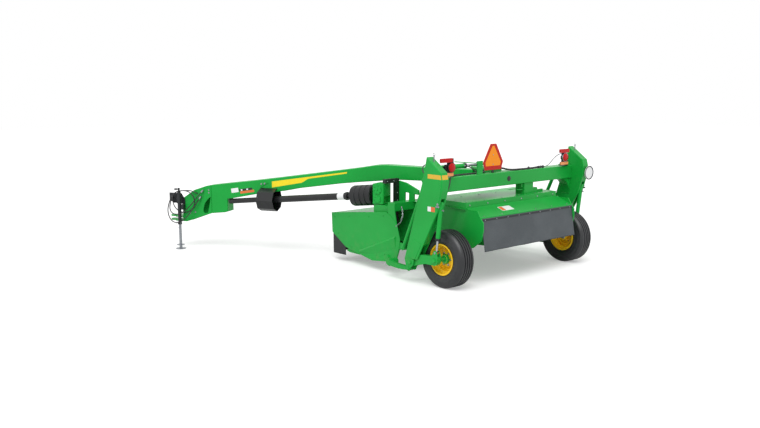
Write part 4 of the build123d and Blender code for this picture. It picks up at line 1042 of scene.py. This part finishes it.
# %% Details of the driveline
HEAD = at(-1.190, 1.400, 1.075)
BEARING = on_tongue(3.257, -0.110, 0.865)
HUB_PLACE = on_tongue(3.4013, -0.110, 0.865)
SHAFT = (BEARING - HEAD) / np.linalg.norm(BEARING - HEAD)
AHEAD = SHAFT * [1, 1, 0] / np.linalg.norm(SHAFT[:2])
BESIDE = np.array([-AHEAD[1], AHEAD[0], 0.0])
COVERS = ((1.158, 0.053), (1.022, 0.044))
COVER_FACE = on_ground(HEAD) + BESIDE * 0.1321
LID_MIDDLE = on_ground(HEAD) + UP * 1.2361
SHAFT_LABEL = [(50.2, 620), (50.6, 621), (50.6, 729), (50.2, 730)]
COLLAR = [(50.2, 561), (58, 561), (61, 565), (61, 590), (56, 594), (56, 604), (50.2, 606)]
HUB = [(30, -60), (34, -60), (40, -52), (40, -22), (52, -16), (70, -14), (74, -10), (74, -0.2), (30, -0.2)]

cover_bolts = [copies(bolt(0.0075), around(COVER_FACE + UP * z, radius, 6, BESIDE, 0.3), BESIDE)
               for z, radius in COVERS]
plug = copies(bolt(0.013, 1.25, 0.7), COVER_FACE + UP * COVERS[0][0], BESIDE)
screw_places = [LID_MIDDLE + AHEAD * a + BESIDE * b for a in (-0.068, 0.068) for b in (-0.096, 0.096)]
lid_screws = copies(dome(0.009, 0.004), screw_places, UP)
add_piece("gear_head_bolts", join(cover_bolts + [plug, lid_screws]), GREEN, "swivel")
add_piece("shaft_label", lathe(SHAFT_LABEL, HEAD, SHAFT, 40), WHITE, "telescoping_tube")
add_piece("guard_collar", lathe(COLLAR, HEAD, SHAFT, 40), PLASTIC, "telescoping_tube")
add_piece("middle_bearing", lathe(HUB, HUB_PLACE, ALONG, 40, closed=True), GREEN, "tongue")
hub_bolts = copies(bolt(0.009), around(HUB_PLACE - ALONG * 0.0139, 0.062, 4, ALONG, 0.78), -ALONG)
add_piece("middle_bearing_bolts", hub_bolts, ZINC, "tongue")
hanger_bolts = copies(bolt(0.012), on_tongue([3.34, 3.395], TONGUE_SIDE - 0.0101, [1.113, 1.103]), left_out)
add_piece("hanger_bolts", hanger_bolts, ZINC, "tongue")
cover_screws = at([-1.2, -1.08, -1.0085, -1.0085], 1.2639, [1.275, 1.275, 1.1, 0.99])
add_piece("cover_screws", copies(bolt(0.008), cover_screws, -FORWARD), ZINC)
print("shaft from head to bearing", round(float(np.linalg.norm(BEARING - HEAD)), 3), "m")

# %% [markdown]
# A weld is a small round bead that follows the corner between two plates. Each bead is a thin
# sweep along that corner, in the paint of what it joins, because paint covers the weld.

# %% Weld beads
WELD_PITCH = 0.02
WELD_SIDES = 8
TUBE_Y, TUBE_Z = [0.056, 0.244, 0.244, 0.056], [1.244, 1.244, 1.426, 1.426]


def bead(corners, radius, up, closed=False):
    """A round bar along straight runs between corners, swollen by 1 + 0.16 cos(2.2 n) at its ring n."""
    corners = np.asarray(corners, float)
    ends = np.roll(corners, -1, axis=0) if closed else corners[1:]
    starts = corners if closed else corners[:-1]
    counts = [max(2, int(np.linalg.norm(end - start) / WELD_PITCH)) for start, end in zip(starts, ends)]
    runs = [np.linspace(start, end, count)[:-1] for start, end, count in zip(starts, ends, counts)]
    path = np.concatenate(runs if closed else runs + [corners[-1:]])
    points, faces = sweep(circle(radius, WELD_SIDES), path, up, closed)
    rings = points.reshape(len(path), WELD_SIDES, 3)
    swell = 1 + 0.16 * np.cos(np.arange(len(path)) * 2.2)[:, None, None]
    return (path[:, None] + (rings - path[:, None]) * swell).reshape(-1, 3), faces


welds = []
for out in OUTWARD.values():
    x = out[0] * LEG_INSIDE
    welds.append(bead(at(x, TUBE_Y, TUBE_Z), 0.0050, RIGHT, closed=True))
    welds.append(bead(at(x, [0.075, 0.225], 1.003), 0.0050, RIGHT))
welds.append(bead(at([-0.378, 0.048], 0.246, 1.429), 0.0070, UP))
add_piece("frame_welds", join(welds), GREEN)
tongue_welds = [bead(on_tongue(4.3002, w, [1.036, 0.612]), 0.0045, ACROSS) for w in (-0.1, 0.1)]
add_piece("tongue_welds", join(tongue_welds), GREEN, "tongue")
print("welds", len(welds) + len(tongue_welds))

# %% [markdown]
# The small fittings of jack, hitch and beam come next: the jack's lock pin with its ring, its
# collar and grip, lynch pins on the legs and a knob on the beam. A ring is a sweep closed on
# itself.

# %% Hardware of jack, hitch and beam
JACK_S, JACK_W = 4.850, -0.170
GRIP_START, GRIP_END = on_tongue(JACK_S, JACK_W, 0.972), on_tongue(JACK_S, -0.290, 0.985)
LOCK_PIN = [(0, 26), (7, 26), (7, 44), (0, 48)]
JACK_COLLAR = [(28.2, 400), (33, 400), (34, 404), (34, 424), (33, 428), (28.2, 428)]
GRIP = [(9.2, 55), (12.5, 57), (14, 70), (14, 104), (12, 113), (9.2, 114.5)]
SHANK = [(0, 0), (8, 0), (8, 98), (0, 101)]
KNOB_PLACE, LYNCH_PIN = (0.500, 0.130, 1.4299), (0.050, 1.640)
KNOB = [(0, 34), (10, 33), (16, 26), (16, 16), (7, 10), (7, 0), (0, 0)]


def ring_of(centre, radius, wire, axis):
    """A wire bent to a circle about an axis."""
    return sweep(circle(wire, 8), around(centre, radius, 28, axis), axis, closed=True)


lock_pin = [lathe(np.array(LOCK_PIN) * [1, way], on_tongue(JACK_S, JACK_W, 0.450), ACROSS, 14)
            for way in (-1, 1)]
jack_ring = ring_of(on_tongue(JACK_S, -0.212, 0.396), 0.050, 0.0026, ACROSS)
add_piece("jack_lock_pin", join(lock_pin + [jack_ring]), ZINC, "tongue")
add_piece("jack_collar", lathe(JACK_COLLAR, on_tongue(JACK_S, JACK_W, 0), UP, 36), DARK, "tongue")
add_piece("jack_grip", lathe(GRIP, GRIP_START, GRIP_END - GRIP_START, 24), PLASTIC, "tongue")
hitch_bolts = on_tongue([4.34, 4.34, 4.60, 4.70], TONGUE_SIDE - 0.0001, [0.97, 0.925, 0.60, 0.58])
add_piece("hitch_bolts", copies(bolt(0.011), hitch_bolts, left_out), ZINC, "tongue")
for side, out in OUTWARD.items():
    stem = at(out[0] * LEG_X, *LYNCH_PIN)
    lynch_pin = [lathe(SHANK, stem, UP, 14), ring_of(stem + UP * 0.104, 0.020, 0.0032, RIGHT)]
    add_piece(f"{side}_lynch_pin", join(lynch_pin), ZINC)
add_piece("beam_knob", lathe(KNOB, at(*KNOB_PLACE), UP, 24), PLASTIC)
print("jack at", JACK_S, "m along the tongue")

# %% [markdown]
# The drive shaft's guard is kept from turning by a chain. A chain link is a stadium of wire, and
# each link is turned a quarter against the last. The chain hangs from the header's tube to the
# side shield: its straight runs are blurred into a curve, and links sit at even steps on it.

# %% Guard chain
LINK_PITCH = 0.021
LINK_HALF, LINK_BEND, LINK_WIRE = 0.0075, 0.0065, 0.0026
CHAIN_CORNERS = at([-1.215, -1.243, -1.300, -1.3535], [0.946, 0.893, 0.862, 0.905],
                   [0.945, 0.852, 0.760, 0.700])
BLUR = 20


def chain_centres():
    """The mean of 2 BLUR + 1 neighbours along the straight runs, cut into steps of one pitch."""
    fine = np.linspace(0, 3, 200)
    padded = np.pad(along(range(4), CHAIN_CORNERS, fine), ((BLUR, BLUR), (0, 0)), mode="edge")
    kernel = np.ones(2 * BLUR + 1) / (2 * BLUR + 1)
    line = np.stack([np.convolve(axis, kernel, "valid") for axis in padded.T], axis=1)
    line[[0, -1]] = CHAIN_CORNERS[[0, -1]]
    travelled = np.r_[0, np.cumsum(np.linalg.norm(np.diff(line, axis=0), axis=1))]
    return along(travelled, line, np.arange(0, travelled[-1], LINK_PITCH))


def stadium():
    """Two half circles, a straight run apart."""
    half = np.linspace(-math.pi / 2, math.pi / 2, 7)
    bend = np.c_[LINK_HALF + LINK_BEND * np.cos(half), LINK_BEND * np.sin(half)]
    return np.concatenate([bend, -bend])


links = []
centres = chain_centres()
for index, (centre, way) in enumerate(zip(centres, np.gradient(centres, axis=0))):
    way, first, second = beside(way)
    wide, thin = (first, second) if index % 2 else (second, first)
    link = centre + stadium() @ [way, wide]
    links.append(sweep(circle(LINK_WIRE, 6), link, thin, closed=True))
add_piece("guard_chain", join(links), ZINC, sharp=60)
eyes = [copies(bolt(0.009), CHAIN_CORNERS[0] + FORWARD * 0.004, -FORWARD),
        copies(bolt(0.009), CHAIN_CORNERS[-1] + RIGHT * 0.0034, -RIGHT)]
add_piece("chain_bolts", join(eyes), ZINC)
print("chain links", len(links))

# %% [markdown]
# Under the deck the discs carry bolts too: four round each hub, a cap over its nut, and one that
# holds each knife. They show when the lid is up.

# %% Disc caps and knife bolts
DISCS = 6
DISC_PITCH, DISC_Y = 0.400, 1.850
DISC_TOP, OVAL_TOP = 0.29435, 0.27635
KNIFE_REACH = 0.172
DISC_CAP = [(0, 12), (18, 12), (26, 9), (30, 0), (0, 0)]

for index in range(DISCS):
    middle = at((index - (DISCS - 1) / 2) * DISC_PITCH, DISC_Y, 0)
    name, body = f"disc_{index + 1}", f"cutter_disc_{index + 1}"
    knife_way = RIGHT if index % 2 == 0 else FORWARD
    add_piece(f"{name}_cap", lathe(DISC_CAP, middle + UP * DISC_TOP, UP, 28), STEEL, body)
    hub_bolts = copies(bolt(0.0075), around(middle + UP * DISC_TOP, 0.052, 4, UP, 0.78), UP)
    knife_places = middle + UP * OVAL_TOP + np.stack([knife_way, -knife_way]) * KNIFE_REACH
    knife_bolts = copies(bolt(0.014, 1.4, 0.5), knife_places, UP)
    add_piece(f"{name}_bolts", join([hub_bolts, knife_bolts]), ZINC, body)
print("discs", DISCS)

# %% [markdown]
# A hose is one smooth curve, a NURBS spline whose control points are the corners of the hose's
# route, so its line has no straight runs. Its round section comes from the curve's bevel, times
# the radius at each point. Each hose is measured along its own line, and its length is printed.

# %% How a hose is made
def smooth_curve(name, points, radius, material, body):
    """A spline of the third order through its ends, drawn in by its control points in between."""
    curve = bpy.data.curves.new(name, "CURVE")
    curve.dimensions = "3D"
    curve.bevel_depth = 1.0
    curve.bevel_resolution = 3
    curve.use_fill_caps = True
    curve.resolution_u = 10
    spline = curve.splines.new("NURBS")
    spline.points.add(len(points) - 1)
    spline.points.foreach_set("co", np.c_[points, np.ones(len(points))].ravel())
    spline.points.foreach_set("radius", np.full(len(points), radius))
    spline.order_u = 3
    spline.use_endpoint_u = True
    return place_piece(name, curve, material, body)


def centreline(piece):
    """Points along the curve's own line, read from it with its round section taken off."""
    depth = piece.data.bevel_depth
    piece.data.bevel_depth = 0
    bpy.context.view_layer.update()
    line = bpy.data.meshes.new_from_object(piece.evaluated_get(bpy.context.evaluated_depsgraph_get()))
    points = np.zeros(len(line.vertices) * 3)
    line.vertices.foreach_get("co", points)
    bpy.data.meshes.remove(line)
    piece.data.bevel_depth = depth
    return points.reshape(-1, 3)


def hose(name, route, radius, place=at, body="frame"):
    """A hose of that radius, its route's places set by at or on_tongue, measured, its length printed."""
    points = place(*np.array(route).T)
    piece = smooth_curve(name, points, radius, HOSE, body)
    length = float(np.linalg.norm(np.diff(centreline(piece), axis=0), axis=1).sum())
    print(name, round(length, 3), "m")
    return piece


# %% [markdown]
# The two hoses beside the hitch lie where the frame's plain tubes lie. Each ends in couplings with
# a grooved sleeve, in line with the last piece of its hose: a pale one on the tongue's head, and
# a capped black one parked in the holder.

# %% Hitch hoses and their couplings
HITCH_HOSE = 0.008
ROUTES = {
    "hose_long": [
        (4.500, -0.138, 0.820), (4.570, -0.165, 0.710), (4.645, -0.200, 0.590), (4.740, -0.220, 0.480),
        (4.870, -0.225, 0.420), (4.990, -0.215, 0.460), (5.060, -0.190, 0.570), (5.070, -0.160, 0.700),
        (5.040, -0.128, 0.800),
    ],
    "hose_short": [
        (4.460, -0.138, 0.930), (4.550, -0.150, 0.830), (4.650, -0.185, 0.700), (4.770, -0.215, 0.590),
        (4.890, -0.230, 0.560), (4.990, -0.215, 0.600), (5.030, -0.180, 0.700), (5.015, -0.135, 0.810),
    ],
}
SLEEVE = [(10.1, 8), (13.5, 8), (14.5, 10), (14.5, 15), (13, 17), (14.5, 19), (14.5, 25), (13, 27),
          (14.5, 29), (14.5, 36), (12.5, 41), (10.1, 41)]
CAP = [(0, 62), (10, 62), (13, 59), (13, 44), (10.1, 44)]

for name, route in ROUTES.items():
    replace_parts(hose(f"{name}_line", route, HITCH_HOSE, on_tongue, "tongue"), name)
    line = on_tongue(*np.array(route).T)
    out, parked = line[0] - line[1], line[-1] - line[-2]
    add_piece(f"{name}_sleeve", lathe(SLEEVE, line[0], out, 28), ZINC, "tongue")
    ends = join([lathe(SLEEVE, line[-1], parked, 28), lathe(CAP, line[-1], parked, 28)])
    add_piece(f"{name}_coupling", ends, PLASTIC, "tongue")
print("couplings", 2 * len(ROUTES))

# %% [markdown]
# The cable for the lamps hangs over the jack's head in two turns. On the beam, hoses run from the
# tongue's bracket to the swing cylinder's two ports and to the left leg, for its lift cylinder.
# A thick one goes to the coupling of the right lamp's cable. Each follows a table of places, and
# each starts and ends at a piece that carries it.

# %% Cables and hoses on the frame
LOOM, THIN, THICK, CABLE = 0.008, 0.007, 0.013, 0.005
COIL = [(4.545, -0.1005, 0.905), (4.560, -0.122, 0.915), (4.600, -0.134, 0.935), (4.660, -0.140, 0.952),
        (4.750, -0.146, 0.950), (4.850, -0.1465, 0.9395), (4.930, -0.150, 0.915), (4.985, -0.148, 0.850),
        (4.990, -0.145, 0.760), (4.960, -0.138, 0.670), (4.890, -0.128, 0.605), (4.790, -0.124, 0.585),
        (4.690, -0.124, 0.610), (4.610, -0.126, 0.680), (4.585, -0.130, 0.770), (4.600, -0.140, 0.860),
        (4.660, -0.155, 0.930), (4.750, -0.178, 0.955), (4.850, -0.194, 0.942), (4.925, -0.196, 0.905),
        (4.965, -0.190, 0.830), (4.962, -0.186, 0.785), (4.956, -0.172, 0.757), (4.950, -0.145, 0.748),
        (4.948, -0.1085, 0.747)]
SWING_HOSE = [(-1.105, 0.309, 1.541), (-1.105, 0.350, 1.545), (-1.128, 0.392, 1.558), (-1.180, 0.415, 1.573),
              (-1.250, 0.418, 1.580), (-1.320, 0.402, 1.572), (-1.374, 0.372, 1.545), (-1.394, 0.345, 1.500),
              (-1.382, 0.315, 1.466), (-1.335, 0.270, 1.454), (-1.265, 0.225, 1.454), (-1.200, 0.197, 1.458),
              (-1.120, 0.187, 1.452), (-1.020, 0.183, 1.4395), (-0.800, 0.178, 1.439), (-0.560, 0.172, 1.439),
              (-0.460, 0.172, 1.439), (-0.390, 0.182, 1.444), (-0.345, 0.210, 1.450), (-0.330, 0.2495, 1.452)]
LIFT_HOSE = [(-0.350, 0.2495, 1.4375), (-0.365, 0.205, 1.4375), (-0.410, 0.166, 1.4375),
             (-0.480, 0.150, 1.4375), (-0.600, 0.148, 1.4375), (-0.900, 0.142, 1.4375),
             (-1.020, 0.134, 1.4375), (-1.100, 0.108, 1.440), (-1.155, 0.070, 1.437),
             (-1.190, 0.040, 1.415), (-1.215, 0.022, 1.365), (-1.250, 0.008, 1.300),
             (-1.300, -0.006, 1.235), (-1.350, -0.018, 1.185), (-1.390, -0.032, 1.148),
             (-1.4195, -0.045, 1.122)]
RETURN_HOSE = [(-0.745, 0.189, 1.541), (-0.745, 0.150, 1.541), (-0.738, 0.112, 1.532),
               (-0.715, 0.088, 1.508), (-0.675, 0.085, 1.475), (-0.620, 0.098, 1.455),
               (-0.550, 0.115, 1.450), (-0.480, 0.125, 1.4525), (-0.420, 0.146, 1.457),
               (-0.380, 0.182, 1.461), (-0.362, 0.215, 1.462), (-0.360, 0.2495, 1.462)]
BEAM_HOSE = [(0.030, 0.2495, 1.462), (0.035, 0.215, 1.462), (0.060, 0.150, 1.448), (0.120, 0.100, 1.4435),
             (0.250, 0.085, 1.4435), (0.450, 0.080, 1.4435), (0.600, 0.078, 1.447), (0.645, 0.078, 1.4495)]
LAMP_CABLE = [(0.770, 0.078, 1.4495), (0.820, 0.078, 1.4495), (0.870, 0.078, 1.460), (0.930, 0.078, 1.495),
              (1.000, 0.079, 1.545), (1.070, 0.080, 1.585), (1.130, 0.078, 1.608), (1.175, 0.066, 1.618),
              (1.193, 0.046, 1.619), (1.196, 0.0275, 1.618)]
COUPLING_PLACE = (0.642, 0.078, 1.4495)
BEAM_COUPLING = [(0, 0), (15, 0), (18, 3), (18, 28), (15, 31), (15, 52), (18, 55), (18, 74), (15, 78),
                 (15, 100), (19, 104), (19, 124), (14, 130), (0, 130)]

hose("lamp_loom", COIL, LOOM, on_tongue, "tongue")
hose("swing_hose", SWING_HOSE, THIN)
hose("lift_hose", LIFT_HOSE, THIN)
hose("return_hose", RETURN_HOSE, THIN)
hose("beam_hose", BEAM_HOSE, THICK)
hose("lamp_cable", LAMP_CABLE, CABLE)
before, last = at(*np.array(LIFT_HOSE[-2:]).T)
add_piece("lift_hose_end", lathe(np.array(SLEEVE) - [0, 4], last, before - last, 24), ZINC)
add_piece("beam_coupling", lathe(BEAM_COUPLING, at(*COUPLING_PLACE), RIGHT, 32), PLASTIC)
print("ends of the lift hose and the thick hose done")
